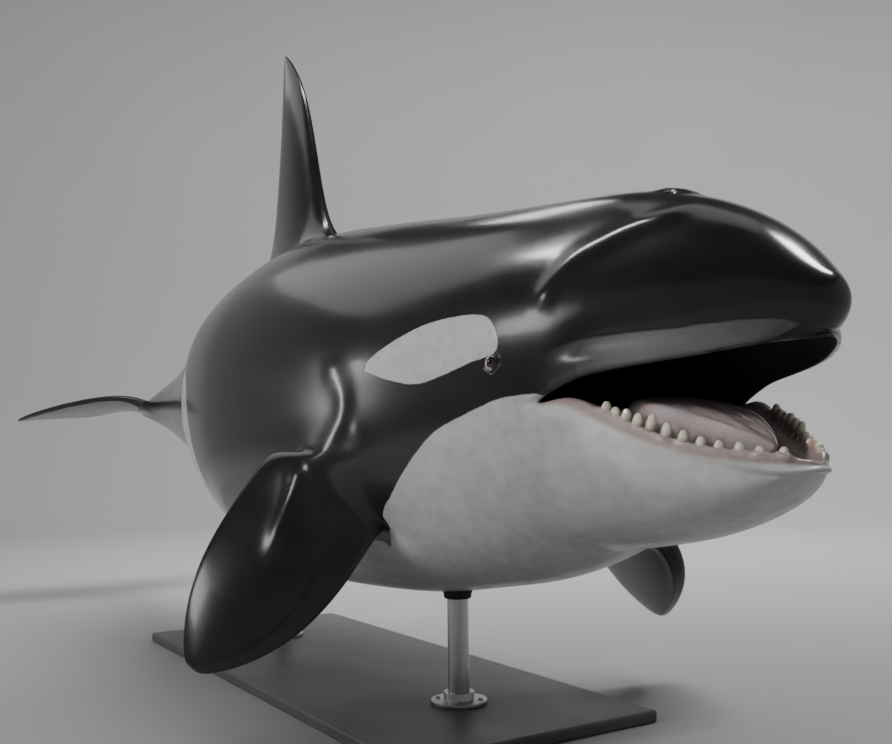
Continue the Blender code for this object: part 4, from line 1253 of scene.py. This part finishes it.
gums = {
    "ridge": 0.010,
    "ridgeWidth": 0.020,
    "collar": 0.006,
    "collarRadius": 0.012,
    "collarWidth": 0.010,
    "collarReach": 0.04,    # collars swell only this near the row
    "paintWidth": 0.018,
}


def shapeGums(skin):
    # a low ridge under the tooth row, swollen round each tooth
    co, out = points(skin), normals(skin)
    lining, palate = attribute(skin, "lining"), attribute(skin, "palate")
    floor = (lining > 0.15) * (1 - ease(palate, 0.05, 0.3))
    feet = []
    for number in range(len(teeth["s"])):
        foot, tip = toothPlace(number)
        gumShare = teeth["sink"] / math.dist(foot, tip)
        feet.append([f + (t - f) * gumShare for f, t in zip(foot, tip)])
    feet = np.array(feet)
    s, y, z = bodyPlace(co)
    here = np.stack([s, np.abs(y), z], 1)
    toRow = np.full(len(co), 1e9)
    for a, b in zip(feet, feet[1:]):
        t = np.clip(((here - a) @ (b - a)) / ((b - a) @ (b - a)), 0, 1)
        toRow = np.minimum(toRow, np.linalg.norm(here - a - t[:, None] * (b - a), axis=1))
    toTooth = np.min(np.linalg.norm(here[:, None, :] - feet[None], axis=2), axis=1)
    rise = gums["ridge"] * bell(toRow, gums["ridgeWidth"])
    collar = gums["collar"] * bell(toTooth - gums["collarRadius"], gums["collarWidth"])
    rise += collar * (toRow < gums["collarReach"])
    setPoints(skin, co + out * (rise * floor)[:, None])
    setAttribute(skin, "gum", bell(toRow, gums["paintWidth"]) * floor)


shapeGums(skin)
markLipHighlight(skin)
markSkin(skin)
lowerTeeth = setTeeth()
print("teeth set:", len(lowerTeeth.data.polygons), "faces")


tongue = {
    # s, half width, underside, top in the closed jaw
    "sections": (
        (0.190, 0.005, -0.126, -0.116), (0.200, 0.016, -0.138, -0.108), (0.222, 0.036, -0.156, -0.098),
        (0.255, 0.066, -0.176, -0.090), (0.32, 0.122, -0.200, -0.080), (0.40, 0.168, -0.212, -0.078),
        (0.50, 0.176, -0.208, -0.090), (0.58, 0.130, -0.196, -0.108),
    ),
    "sides": 20,
    "groove": 0.007,
    "grooveWidth": 0.018,
    "grooveStart": (0.19, 0.26),
    "edge": 0.009,
    "edgePlace": (0.84, 0.14),      # middle and width of the raised edge, as shares of the half width
    "flatness": 0.55,
}


def modelTongue():
    # rings extruded from the tip back, then the middle groove and the turned-up edges
    sections = tongue["sections"]
    s, wide, low, high = sections[0]
    bpy.ops.mesh.primitive_circle_add(
        vertices=tongue["sides"], radius=1, fill_type="NGON", rotation=(math.pi / 2, 0, math.pi / 2)
    )
    flesh = bpy.context.object
    bpy.ops.object.transform_apply(location=True, rotation=True, scale=True)
    bpy.ops.object.mode_set(mode="EDIT")
    bpy.ops.mesh.select_all(action="SELECT")
    bpy.ops.transform.resize(value=(1, wide, (high - low) / 2))
    bpy.ops.transform.translate(value=world(s, 0, (low + high) / 2))
    for (s0, wide0, low0, high0), (s1, wide1, low1, high1) in zip(sections, sections[1:]):
        move = (s0 - s1, 0, (low1 + high1 - low0 - high0) / 2)
        growOn(move, (1, wide1 / wide0, (high1 - low1) / (high0 - low0)))
    faceOutwards()
    smoothOff(flesh, 2)
    flesh.name = "tongue_flesh"
    co = points(flesh)
    s, y, z = bodyPlace(co)
    sectionS, *sizes = zip(*sections)
    wide, low, high = (np.interp(s, sectionS, size) for size in sizes)
    up = np.clip((z - (low + high) / 2) / ((high - low) / 2), -1, 1)
    z = (low + high) / 2 + np.sign(up) * np.abs(up) ** tongue["flatness"] * (high - low) / 2
    onTop = ease(up, 0.0, 0.7)
    groove = bell(y, tongue["grooveWidth"]) * ease(s, *tongue["grooveStart"])
    z = z - onTop * tongue["groove"] * groove
    crest, width = tongue["edgePlace"]
    z = z + onTop * tongue["edge"] * bell(np.abs(y) / wide - crest, width)
    opened = [world(*openJaw(place)) for place in zip(s, y, z)]
    setPoints(flesh, np.array(opened))
    setAttribute(flesh, "top", onTop)
    flesh.data.shade_smooth()
    return flesh


tongueFlesh = modelTongue()
print("tongue modelled")


def modelEye(name):
    # a ball with a raised clear front; "rim" is the angle from the way the eye looks
    place, outward = eyePlaces[name]
    centre = place - outward * eyes["sink"]
    bpy.ops.mesh.primitive_uv_sphere_add(segments=40, ring_count=28, radius=eyes["radius"])
    ball = bpy.context.object
    ball.name = "eyeball_" + name
    front, rise, reach = (share * eyes["radius"] for share in eyes["cornea"])
    pick(ball, "vertices", points(ball)[:, 2] > front)
    bpy.ops.transform.translate(value=(0, 0, rise), use_proportional_edit=True,
                                proportional_edit_falloff="SMOOTH", proportional_size=reach)
    bpy.ops.object.mode_set(mode="OBJECT")
    co = points(ball)
    setAttribute(ball, "rim", np.degrees(np.arctan2(np.hypot(co[:, 0], co[:, 1]), co[:, 2])))
    turn = Vector((0, 0, 1)).rotation_difference(outward).to_matrix().to_4x4()
    ball.data.transform(Matrix.Translation(centre) @ turn)
    ball.data.shade_smooth()
    return ball


eyeballs = [modelEye("left"), modelEye("right")]
print("eyes modelled")


stand = {
    "rodX": {"front": 0.75, "rear": -0.75},
    "rodRadius": 0.036,
    "baseTop": 0.040,
    "flangeRadius": 0.095,
    "flangeHeight": 0.014,
    "neckRadius": 0.052,
    "neckHeight": 0.040,
    "clearance": 0.0006,
    "bolts": 4,
    "boltRadius": 0.009,
    "boltHeight": 0.006,
    "boltCircle": 0.074,
    "footBevel": 0.0022,
    "boltBevel": 0.0010,
    "cuffHeight": 0.030,
    "cuffRadius": 0.054,
    # the cuff's neck and brim: added to the rod's or the cuff's radius, height
    "cuffNeck": ((0.006, 0.0), (0.010, 0.004), (0.011, 0.014)),
    "cuffBrim": ((-0.003, 0.024), (0.0, 0.028), (0.0, 0.033), (-0.004, 0.036)),
}


def roundEdges(obj, width, segments):
    edge = obj.modifiers.new("edge", "BEVEL")
    edge.width = width
    edge.segments = segments
    edge.limit_method = "ANGLE"
    applyAll(obj)


def modelFlange(name):
    # a turned foot round the rod with a short neck, and the bolts that hold it down
    x, inner = stand["rodX"][name], stand["rodRadius"] + stand["clearance"]
    bottom, top = stand["baseTop"] + stand["clearance"], stand["baseTop"] + stand["flangeHeight"]
    rise = stand["neckHeight"] - stand["flangeHeight"]
    bpy.ops.mesh.primitive_cylinder_add(
        vertices=64, radius=stand["flangeRadius"], depth=top - bottom, location=(x, 0, (top + bottom) / 2)
    )
    foot = bpy.context.object
    foot.name = "stand_flange_" + name
    bpy.ops.object.transform_apply(location=True, rotation=True, scale=True)
    pick(foot, "polygons", [face.normal.z > 0.9 for face in foot.data.polygons])
    bpy.ops.mesh.inset(thickness=stand["flangeRadius"] - stand["neckRadius"])
    growOn((0, 0, rise))
    bpy.ops.mesh.inset(thickness=stand["neckRadius"] - inner)
    growOn((0, 0, -rise))
    bpy.ops.object.mode_set(mode="OBJECT")
    roundEdges(foot, stand["footBevel"], 3)
    heads = []
    for number in range(stand["bolts"]):
        turn = 2 * math.pi * (number + 0.5) / stand["bolts"]
        place = (x + stand["boltCircle"] * math.cos(turn), stand["boltCircle"] * math.sin(turn), top)
        bpy.ops.mesh.primitive_cylinder_add(
            vertices=6, radius=stand["boltRadius"], depth=stand["boltHeight"] * 2, location=place
        )
        head = bpy.context.object
        bpy.ops.object.transform_apply(location=True, rotation=True, scale=True)
        roundEdges(head, stand["boltBevel"], 2)
        heads.append(head)
    flange = joinAll([foot] + heads)
    bpy.ops.object.shade_smooth_by_angle(angle=math.radians(30))
    return flange


def modelCuff(name):
    # a rubber cuff where the rod goes up into the belly
    x, inner = stand["rodX"][name], stand["rodRadius"] + stand["clearance"]
    belly, _ = skinHit(skin, Vector((x + stand["rodRadius"] * 1.5, 0, 0.1)), Vector((0, 0, 1)))
    centre = Vector((x, 0, belly.z - stand["cuffHeight"]))
    bpy.ops.mesh.primitive_circle_add(vertices=64, radius=inner, location=centre)
    cuff = bpy.context.object
    cuff.name = "stand_cuff_" + name
    bpy.ops.object.transform_apply(location=True, rotation=True, scale=True)
    bpy.ops.object.mode_set(mode="EDIT")
    bpy.ops.mesh.select_mode(type="EDGE")
    bpy.ops.mesh.select_all(action="SELECT")
    wide = stand["cuffRadius"]
    rings = [(inner + more, height) for more, height in stand["cuffNeck"]]
    rings += [(wide + more, height) for more, height in stand["cuffBrim"]]
    rings.append((inner, rings[-1][1]))
    radius, height = inner, 0.0
    for nextRadius, nextHeight in rings:
        share = nextRadius / radius
        growOn((0, 0, nextHeight - height), (share, share, 1), center_override=centre)
        radius, height = nextRadius, nextHeight
    bpy.ops.mesh.select_all(action="DESELECT")
    bpy.ops.mesh.select_non_manifold()
    bpy.ops.mesh.bridge_edge_loops()
    faceOutwards()
    bpy.ops.object.shade_smooth_by_angle(angle=math.radians(50))
    return cuff


flanges = [modelFlange("front"), modelFlange("rear")]
cuffs = [modelCuff("front"), modelCuff("rear")]
print("stand fittings modelled")


class Shader:
    # a Principled material with short ways to add and join nodes

    def __init__(self, name, **fixed):
        self.material = bpy.data.materials.new(name)
        self.material.use_nodes = True
        self.tree = self.material.node_tree
        self.surface = self.tree.nodes["Principled BSDF"]
        for key, value in fixed.items():
            self.surface.inputs[key.replace("_", " ")].default_value = value
        self.place = self.add("ShaderNodeTexCoord").outputs["Object"]

    def add(self, kind, inputs=None, **settings):
        made = self.tree.nodes.new(kind)
        for key, value in settings.items():
            setattr(made, key, value)
        for key, value in (inputs or {}).items():
            self.feed(made.inputs[key], value)
        return made

    def feed(self, socket, value):
        if isinstance(value, bpy.types.NodeSocket):
            self.tree.links.new(value, socket)
        else:
            socket.default_value = value

    def set(self, key, value):
        self.feed(self.surface.inputs[key], value)

    def noise(self, scale, detail=4.0, roughness=0.55, stretch=None):
        place = self.place
        if stretch:
            place = self.add("ShaderNodeMapping", {"Vector": place, "Scale": stretch}).outputs[0]
        return self.add("ShaderNodeTexNoise", {
            "Vector": place, "Scale": scale, "Detail": detail, "Roughness": roughness,
        }).outputs["Fac"]

    def number(self, name):
        return self.add("ShaderNodeAttribute", attribute_name=name).outputs["Fac"]

    def math(self, what, a, b):
        return self.add("ShaderNodeMath", {0: a, 1: b}, operation=what).outputs[0]

    def plus(self, a, b):
        return self.math("ADD", a, b)

    def times(self, a, b):
        return self.math("MULTIPLY", a, b)

    def swing(self, noise, width):
        # a noise turned into a value that swings round nought
        return self.times(self.math("SUBTRACT", noise, 0.5), width)

    def span(self, value, low, high, toLow=0.0, toHigh=1.0, curve="LINEAR"):
        return self.add("ShaderNodeMapRange", {
            "Value": value, "From Min": low, "From Max": high, "To Min": toLow, "To Max": toHigh,
        }, interpolation_type=curve).outputs["Result"]

    def mix(self, share, a, b):
        return self.add("ShaderNodeMix", {0: share, 6: a, 7: b}, data_type="RGBA").outputs[2]

    def blend(self, share, a, b):
        return self.add("ShaderNodeMix", {0: share, 2: a, 3: b}, data_type="FLOAT").outputs[0]

    def bump(self, height, distance, strength=1.0, after=None):
        inputs = {"Height": height, "Distance": distance, "Strength": strength}
        if after:
            inputs["Normal"] = after
        return self.add("ShaderNodeBump", inputs).outputs["Normal"]


def grey(value, warm=0.0):
    return (value * (1 + warm), value, value * (1 - warm), 1.0)


skinFinish = {
    "black": (0.0080, 0.0085, 0.0098, 1),
    "blackWorn": (0.015, 0.016, 0.018, 1),
    # lipBandHighlight: paler grey, a painted highlight on the upper lip's band
    "lipBandHighlight": (0.105, 0.106, 0.110, 1),
    "white": (0.57, 0.57, 0.555, 1),
    "whiteWorn": (0.47, 0.465, 0.445, 1),
    # flukeWhiteShade: the white made darker on the flukes, a painted shade
    "flukeWhiteShade": (0.27, 0.27, 0.265, 1),
    "saddle": (0.085, 0.088, 0.092, 1),
    "gum": (0.50, 0.425, 0.41, 1),
    "floor": (0.34, 0.26, 0.255, 1),
    # palate: near black, a painted shade standing in for the shadow under the upper jaw
    "palate": (0.012, 0.0095, 0.010, 1),
    "blotch": (0.16, 0.1),          # grey and warmth of the mouth floor's darker patches
    "flukeShadeFade": (-1.5, -2.4),      # x over which the white darkens to a painted shade on the flukes
    "edge": 0.0022,                 # half width of the line between black and white
    "wander": 0.006,                # how far that line strays, in broad bends and in fine ones
    "ragged": 0.003,
    "saddleEdge": (-0.035, 0.045),
    "saddleRagged": 0.05,
    "liningEdge": (0.30, 0.62),     # values of the stored lining and palate where each begins and is full
    "palateEdge": (0.10, 0.55),
    "grainShare": 0.30,             # how much of its colour each of these adds
    "saddleShare": 0.35,
    "blotchShare": 0.35,
    "blackRough": (0.17, 0.27),
    "whiteRough": (0.34, 0.46),
    "bandRough": 0.36,
    "mouthRough": (0.30, 0.75),     # floor, palate
    "shine": (0.5, 0.06),           # skin and floor, palate
    "coat": (0.28, 0.0),
    # relief: height in metres, strength
    "ripple": (0.0030, 0.30),
    "grain": (0.0006, 0.14),
    "speckle": (0.0003, 0.20),
}


def paintSkin():
    look = skinFinish
    m = Shader("orca_skin", Coat_Roughness=0.10)
    broad, patchy = m.noise(3.2, 5), m.noise(22.0, 6, 0.62)
    fine, speck = m.noise(140.0, 4, 0.6), m.noise(520.0, 2)
    lengthways = m.noise(7.0, 2, 0.4, (0.35, 1.6, 1.6))
    wander = m.swing(patchy, look["wander"])
    ragged = m.swing(fine, look["ragged"])
    edge = m.plus(m.plus(m.number("white"), wander), ragged)
    white = m.span(edge, -look["edge"], look["edge"], curve="SMOOTHSTEP")
    lining = m.span(m.number("lining"), *look["liningEdge"], curve="SMOOTHSTEP")
    worn = m.span(m.plus(m.times(broad, 0.6), m.times(lengthways, 0.4)), 0.30, 0.78)
    grain = m.span(speck, 0.42, 0.70)
    black = m.mix(worn, look["black"], look["blackWorn"])
    black = m.mix(m.times(grain, look["grainShare"]), black, look["blackWorn"])
    # painted highlight: the upper lip's band is made paler where light catches it
    black = m.mix(m.times(m.number("band"), m.span(fine, 0.2, 0.8, 0.7, 1.0)), black, look["lipBandHighlight"])
    saddle = m.plus(m.number("saddle"), m.swing(patchy, look["saddleRagged"]))
    saddle = m.span(saddle, *look["saddleEdge"], curve="SMOOTHSTEP")
    black = m.mix(m.times(saddle, look["saddleShare"]), black, look["saddle"])
    pale = m.mix(m.span(patchy, 0.38, 0.68), look["white"], look["whiteWorn"])
    along = m.add("ShaderNodeSeparateXYZ", {"Vector": m.place}).outputs["X"]
    # painted shade: the white darkens towards the flukes
    pale = m.mix(m.span(along, *look["flukeShadeFade"]), pale, look["flukeWhiteShade"])
    colour = m.mix(white, black, pale)
    roof = m.span(m.number("palate"), *look["palateEdge"], curve="SMOOTHSTEP")
    inner = m.mix(m.number("gum"), look["floor"], look["gum"])
    blotches = m.times(m.span(patchy, 0.45, 0.62), look["blotchShare"])
    inner = m.mix(blotches, inner, grey(*look["blotch"]))
    # painted shade: the palate is near black, standing in for the shadow under the upper jaw
    inner = m.mix(roof, inner, look["palate"])
    m.set("Base Color", m.mix(lining, colour, inner))
    blackRough = m.span(worn, 0, 1, *look["blackRough"])
    whiteRough = m.span(patchy, 0.3, 0.7, *look["whiteRough"])
    rough = m.blend(m.number("band"), m.blend(white, blackRough, whiteRough), look["bandRough"])
    m.set("Roughness", m.blend(lining, rough, m.blend(roof, *look["mouthRough"])))
    dull = m.times(lining, roof)
    m.set("Specular IOR Level", m.blend(dull, *look["shine"]))
    m.set("Coat Weight", m.blend(dull, *look["coat"]))
    surface = m.bump(lengthways, *look["ripple"])
    surface = m.bump(fine, *look["grain"], surface)
    m.set("Normal", m.bump(speck, *look["speckle"], surface))
    return m.material


toothFinish = {
    "ivory": (0.74, 0.70, 0.60, 1),
    "stained": (0.62, 0.56, 0.44, 1),
    # foot: dark at the tooth's foot, a painted shade round the gum line
    "foot": (0.22, 0.185, 0.16, 1),
    "tip": (0.55, 0.49, 0.38, 1),
    "footShadeEdge": (0.45, 0.74),       # shares of the tooth's height
    "tipEdge": (0.90, 1.0),
    "rough": (0.22, 0.36),
    "relief": (0.0005, 0.4),
}


def paintTooth():
    look = toothFinish
    m = Shader("tooth_enamel", Coat_Weight=0.4, Coat_Roughness=0.12)
    m.set("Subsurface Weight", 0.08)
    m.set("Subsurface Scale", 0.004)
    crown, stain = m.number("crown"), m.noise(160.0, 5)
    streak = m.noise(90.0, 4, 0.6, (3.0, 3.0, 0.5))
    ivory = m.mix(m.span(stain, 0.35, 0.7), look["ivory"], look["stained"])
    # painted shade: each tooth darkens towards its foot at the gum line
    base = m.mix(m.span(crown, *look["footShadeEdge"]), look["foot"], ivory)
    m.set("Base Color", m.mix(m.span(crown, *look["tipEdge"]), base, look["tip"]))
    m.set("Roughness", m.span(streak, 0.3, 0.7, *look["rough"]))
    m.set("Normal", m.bump(streak, *look["relief"]))
    return m.material


tongueFinish = {
    "flesh": (0.64, 0.54, 0.53, 1),
    "mottled": (0.52, 0.42, 0.41, 1),
    "under": (0.38, 0.31, 0.305, 1),
    "rough": (0.30, 0.44),
    "pimples": 330.0,       # to a metre
    "swells": (0.003, 0.4),
    "pimpleRelief": (0.0006, 0.5),
}


def paintTongue():
    look = tongueFinish
    m = Shader("tongue_flesh", Coat_Weight=0.5, Coat_Roughness=0.18)
    m.set("Subsurface Weight", 0.1)
    m.set("Subsurface Scale", 0.01)
    mottle, fine = m.noise(34.0, 5, 0.6), m.noise(260.0, 3)
    pimples = m.add("ShaderNodeTexVoronoi", {"Vector": m.place, "Scale": look["pimples"]}).outputs["Distance"]
    flesh = m.mix(m.span(mottle, 0.35, 0.68), look["flesh"], look["mottled"])
    m.set("Base Color", m.mix(m.number("top"), look["under"], flesh))
    m.set("Roughness", m.span(fine, 0.3, 0.7, *look["rough"]))
    surface = m.bump(mottle, *look["swells"])
    m.set("Normal", m.bump(pimples, *look["pimpleRelief"], surface))
    return m.material


eyeFinish = {
    "pupil": (0.003, 0.003, 0.004, 1),
    "iris": (0.030, 0.017, 0.010, 1),
    "irisPale": (0.068, 0.037, 0.020, 1),
    "dark": (0.008, 0.006, 0.006, 1),
    # white: the eye's white, also made pale as a painted highlight for the light crescents round the opening
    "white": (0.42, 0.38, 0.36, 1),
    # degrees from the middle of the eye's front over which one gives way to the next
    "pupilEdge": (11.0, 12.5),
    "irisEdge": (21.0, 25.0),
    "darkEdge": (28.0, 33.0),
    "ragged": 9.0,
    "rough": (0.06, 0.12),
    "relief": (0.0002, 0.10),
}


def paintEye():
    look = eyeFinish
    m = Shader("wet_eye", Coat_Weight=1.0, Coat_Roughness=0.03)
    rim, flecks = m.number("rim"), m.noise(900.0, 5, 0.65)
    wander = m.swing(flecks, look["ragged"])
    ring = m.plus(rim, wander)
    iris = m.mix(m.span(flecks, 0.35, 0.65), look["iris"], look["irisPale"])
    colour = m.mix(m.span(rim, *look["pupilEdge"]), look["pupil"], iris)
    colour = m.mix(m.span(ring, *look["irisEdge"]), colour, look["dark"])
    # the pale outer ring is the eye's white and also a painted highlight for the crescents of light round the
    # opening
    m.set("Base Color", m.mix(m.span(ring, *look["darkEdge"]), colour, look["white"]))
    m.set("Roughness", m.span(flecks, 0.3, 0.7, *look["rough"]))
    m.set("Normal", m.bump(flecks, *look["relief"]))
    return m.material


standFinish = {
    "paint": (0.062, 0.063, 0.067, 1),
    "paintPale": (0.085, 0.086, 0.090, 1),
    "scuffed": 0.17,
    "paintRough": (0.36, 0.58),
    "steel": (0.46, 0.60),
    "steelRough": (0.24, 0.42),
    "rubber": (0.020, 0.032),
    "rubberRough": (0.55, 0.75),
    "paintRelief": (0.0004, 0.35),
    "steelRelief": (0.0003, 0.35),
    "rubberRelief": (0.0003, 0.4),
}


def paintBase():
    look = standFinish
    m = Shader("painted_plate", Metallic=0.0)
    cloud, peel, scuff = m.noise(2.2, 5), m.noise(420.0, 2), m.noise(11.0, 7, 0.7, (1.0, 5.0, 1.0))
    paint = m.mix(m.span(cloud, 0.3, 0.7), look["paint"], look["paintPale"])
    worn = m.span(scuff, 0.60, 0.80)
    m.set("Base Color", m.mix(m.times(worn, 0.35), paint, grey(look["scuffed"])))
    m.set("Roughness", m.span(m.plus(cloud, m.times(worn, 0.3)), 0.3, 0.9, *look["paintRough"]))
    m.set("Normal", m.bump(peel, *look["paintRelief"]))
    return m.material


def paintSteel():
    m = Shader("brushed_steel", Metallic=1.0)
    dark, pale = map(grey, standFinish["steel"])
    drawn = m.noise(60.0, 6, 0.7, (9.0, 9.0, 0.25))
    cloud = m.noise(7.0, 4)
    m.set("Base Color", m.mix(m.span(drawn, 0.3, 0.7), dark, pale))
    both = m.plus(m.times(drawn, 0.6), m.times(cloud, 0.4))
    m.set("Roughness", m.span(both, 0.3, 0.7, *standFinish["steelRough"]))
    m.set("Normal", m.bump(drawn, *standFinish["steelRelief"]))
    return m.material


def paintRubber():
    m = Shader("cuff_rubber")
    dark, pale = map(grey, standFinish["rubber"])
    cloud, grain = m.noise(30.0, 4), m.noise(700.0, 3)
    m.set("Base Color", m.mix(m.span(cloud, 0.3, 0.7), dark, pale))
    m.set("Roughness", m.span(grain, 0.3, 0.7, *standFinish["rubberRough"]))
    m.set("Normal", m.bump(grain, *standFinish["rubberRelief"]))
    return m.material


def wear(obj, material):
    obj.data.materials.clear()
    obj.data.materials.append(material)


steel = paintSteel()
wear(skin, paintSkin())
wear(lowerTeeth, paintTooth())
wear(tongueFlesh, paintTongue())
eyeLook, rubber = paintEye(), paintRubber()
for ball in eyeballs:
    wear(ball, eyeLook)
for foot in flanges:
    wear(foot, steel)
for cuff in cuffs:
    wear(cuff, rubber)
frame["nodes"]["stand_base"].material_slots[0].material = paintBase()
for name in ("stand_rod_front", "stand_rod_rear"):
    frame["nodes"][name].material_slots[0].material = steel
print("materials made")


def unwrapSkin(skin):
    # a map to bake the skin's materials to
    onlySelect(skin)
    skin.data.uv_layers.new(name="OFBake")
    bpy.ops.object.mode_set(mode="EDIT")
    bpy.ops.mesh.select_all(action="SELECT")
    bpy.ops.uv.smart_project(angle_limit=math.radians(66), island_margin=0.002)
    bpy.ops.object.mode_set(mode="OBJECT")


unwrapSkin(skin)
print("skin unwrapped")


room = {
    "floorRadius": 13.0,
    "rise": 5.0,
    "curveSteps": 12,
    "wallHeight": 9.0,
    "grey": 0.27,
    "skyGrey": 0.9,
    "skyStrength": 0.05,
}

lamps = {
    # place, target, size, power, spread in degrees; True shows only in gloss, False lights only the paint
    "key": ((-0.3, -5.7, 2.9), (1.3, -0.2, 0.95), (3.0, 2.2), 205, 180, False),
    "top": ((-0.6, 0.2, 6.8), (0.6, 0.0, 1.2), (3.5, 2.6), 140, 180, False),
    "mouth": ((1.7, -3.2, 2.1), (2.02, -0.08, 0.96), (0.15, 0.12), 0.24, 10, False),
    "wall": ((-1.6, 3.6, 7.0), (-9.0, 5.0, 1.5), (7.0, 4.0), 1950, 180, False),
    "wallFar": ((2.5, 3.0, 7.0), (8.0, 9.0, 1.5), (5.0, 3.0), 700, 180, False),
    "wallNear": ((2.5, -3.0, 7.0), (8.0, -9.0, 1.5), (5.0, 3.0), 480, 180, False),
    "sheen": ((0.6, 1.4, 6.0), (1.9, 0.0, 1.3), (3.0, 2.2), 12, 180, True),
    "soft": ((-3.1, -1.7, 5.0), (0.7, -0.4, 1.2), (3.4, 2.8), 30, 180, True),
    "back": ((-2.6, 1.9, 5.4), (1.5, -0.2, 1.5), (1.3, 0.9), 17, 180, True),
    "side": ((-0.10, -1.6, 5.3), (1.8, -0.3, 1.4), (0.40, 2.2), 105, 180, True),
    "arm": ((-0.5, -4.4, 2.9), (0.75, -0.6, 0.8), (0.9, 0.6), 16, 180, True),
    "flank": ((-2.3, -3.35, 1.55), (0.93, -0.53, 1.05), (0.20, 1.3), 15, 180, True),
    "nose": ((2.6, 2.1, 4.3), (2.25, 0.0, 1.3), (1.0, 0.8), 90, 180, True),
}


def buildRoom():
    # a round floor that curves up into a wall
    flat, rise = room["floorRadius"] - room["rise"], room["rise"]
    bpy.ops.mesh.primitive_circle_add(vertices=96, radius=flat, fill_type="NGON")
    floor = bpy.context.object
    floor.name = "floor"
    bpy.ops.object.mode_set(mode="EDIT")
    bpy.ops.mesh.select_mode(type="EDGE")
    bpy.ops.mesh.select_all(action="SELECT")
    bpy.ops.mesh.region_to_loop()
    radius, height = flat, 0.0
    for step in range(1, room["curveSteps"] + 1):
        turn = math.pi / 2 * step / room["curveSteps"]
        nextRadius, nextHeight = flat + rise * math.sin(turn), rise * (1 - math.cos(turn))
        bpy.ops.mesh.extrude_edges_move(TRANSFORM_OT_translate={"value": (0, 0, nextHeight - height)})
        share = nextRadius / radius
        bpy.ops.transform.resize(value=(share, share, 1), center_override=(0, 0, nextHeight))
        radius, height = nextRadius, nextHeight
    bpy.ops.mesh.extrude_edges_move(TRANSFORM_OT_translate={"value": (0, 0, room["wallHeight"] - height)})
    bpy.ops.object.mode_set(mode="OBJECT")
    floor.data.shade_smooth()
    m = Shader("room_paint")
    cloud = m.noise(0.5, 5)
    m.set("Base Color", m.mix(m.span(cloud, 0.3, 0.7), grey(room["grey"] * 0.97), grey(room["grey"])))
    m.set("Roughness", 0.85)
    wear(floor, m.material)


def hangLamps():
    for name, (place, target, size, power, spread, shines) in lamps.items():
        bpy.ops.object.light_add(type="AREA", location=place)
        lamp = bpy.context.object
        lamp.name = "lamp_" + name
        lamp.data.shape = "RECTANGLE"
        lamp.data.size, lamp.data.size_y = size
        lamp.data.energy = power
        lamp.data.spread = math.radians(spread)
        lamp.visible_glossy, lamp.visible_diffuse = shines, not shines
        lamp.rotation_euler = (Vector(target) - Vector(place)).to_track_quat("-Z", "Y").to_euler()
    sky = bpy.data.worlds.new("sky")
    sky.use_nodes = True
    sky.node_tree.nodes["Background"].inputs["Color"].default_value = grey(room["skyGrey"])
    sky.node_tree.nodes["Background"].inputs["Strength"].default_value = room["skyStrength"]
    bpy.context.scene.world = sky


buildRoom()
hangLamps()
print("room and lamps ready")


fleshNodes = (
    "head", "lower_jaw", "trunk", "tail_stock", "fluke_left", "fluke_right", "dorsal_fin",
    "flipper_left", "flipper_right",
)
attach(skin, "root")
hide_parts(*fleshNodes)
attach(lowerTeeth, "root")
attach(tongueFlesh, "root")
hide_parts("tongue")
for ball, node in zip(eyeballs, ("eye_left", "eye_right")):
    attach(ball, "root")
    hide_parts(node)
for foot in flanges:
    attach(foot, "root")
for cuff in cuffs:
    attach(cuff, "root")
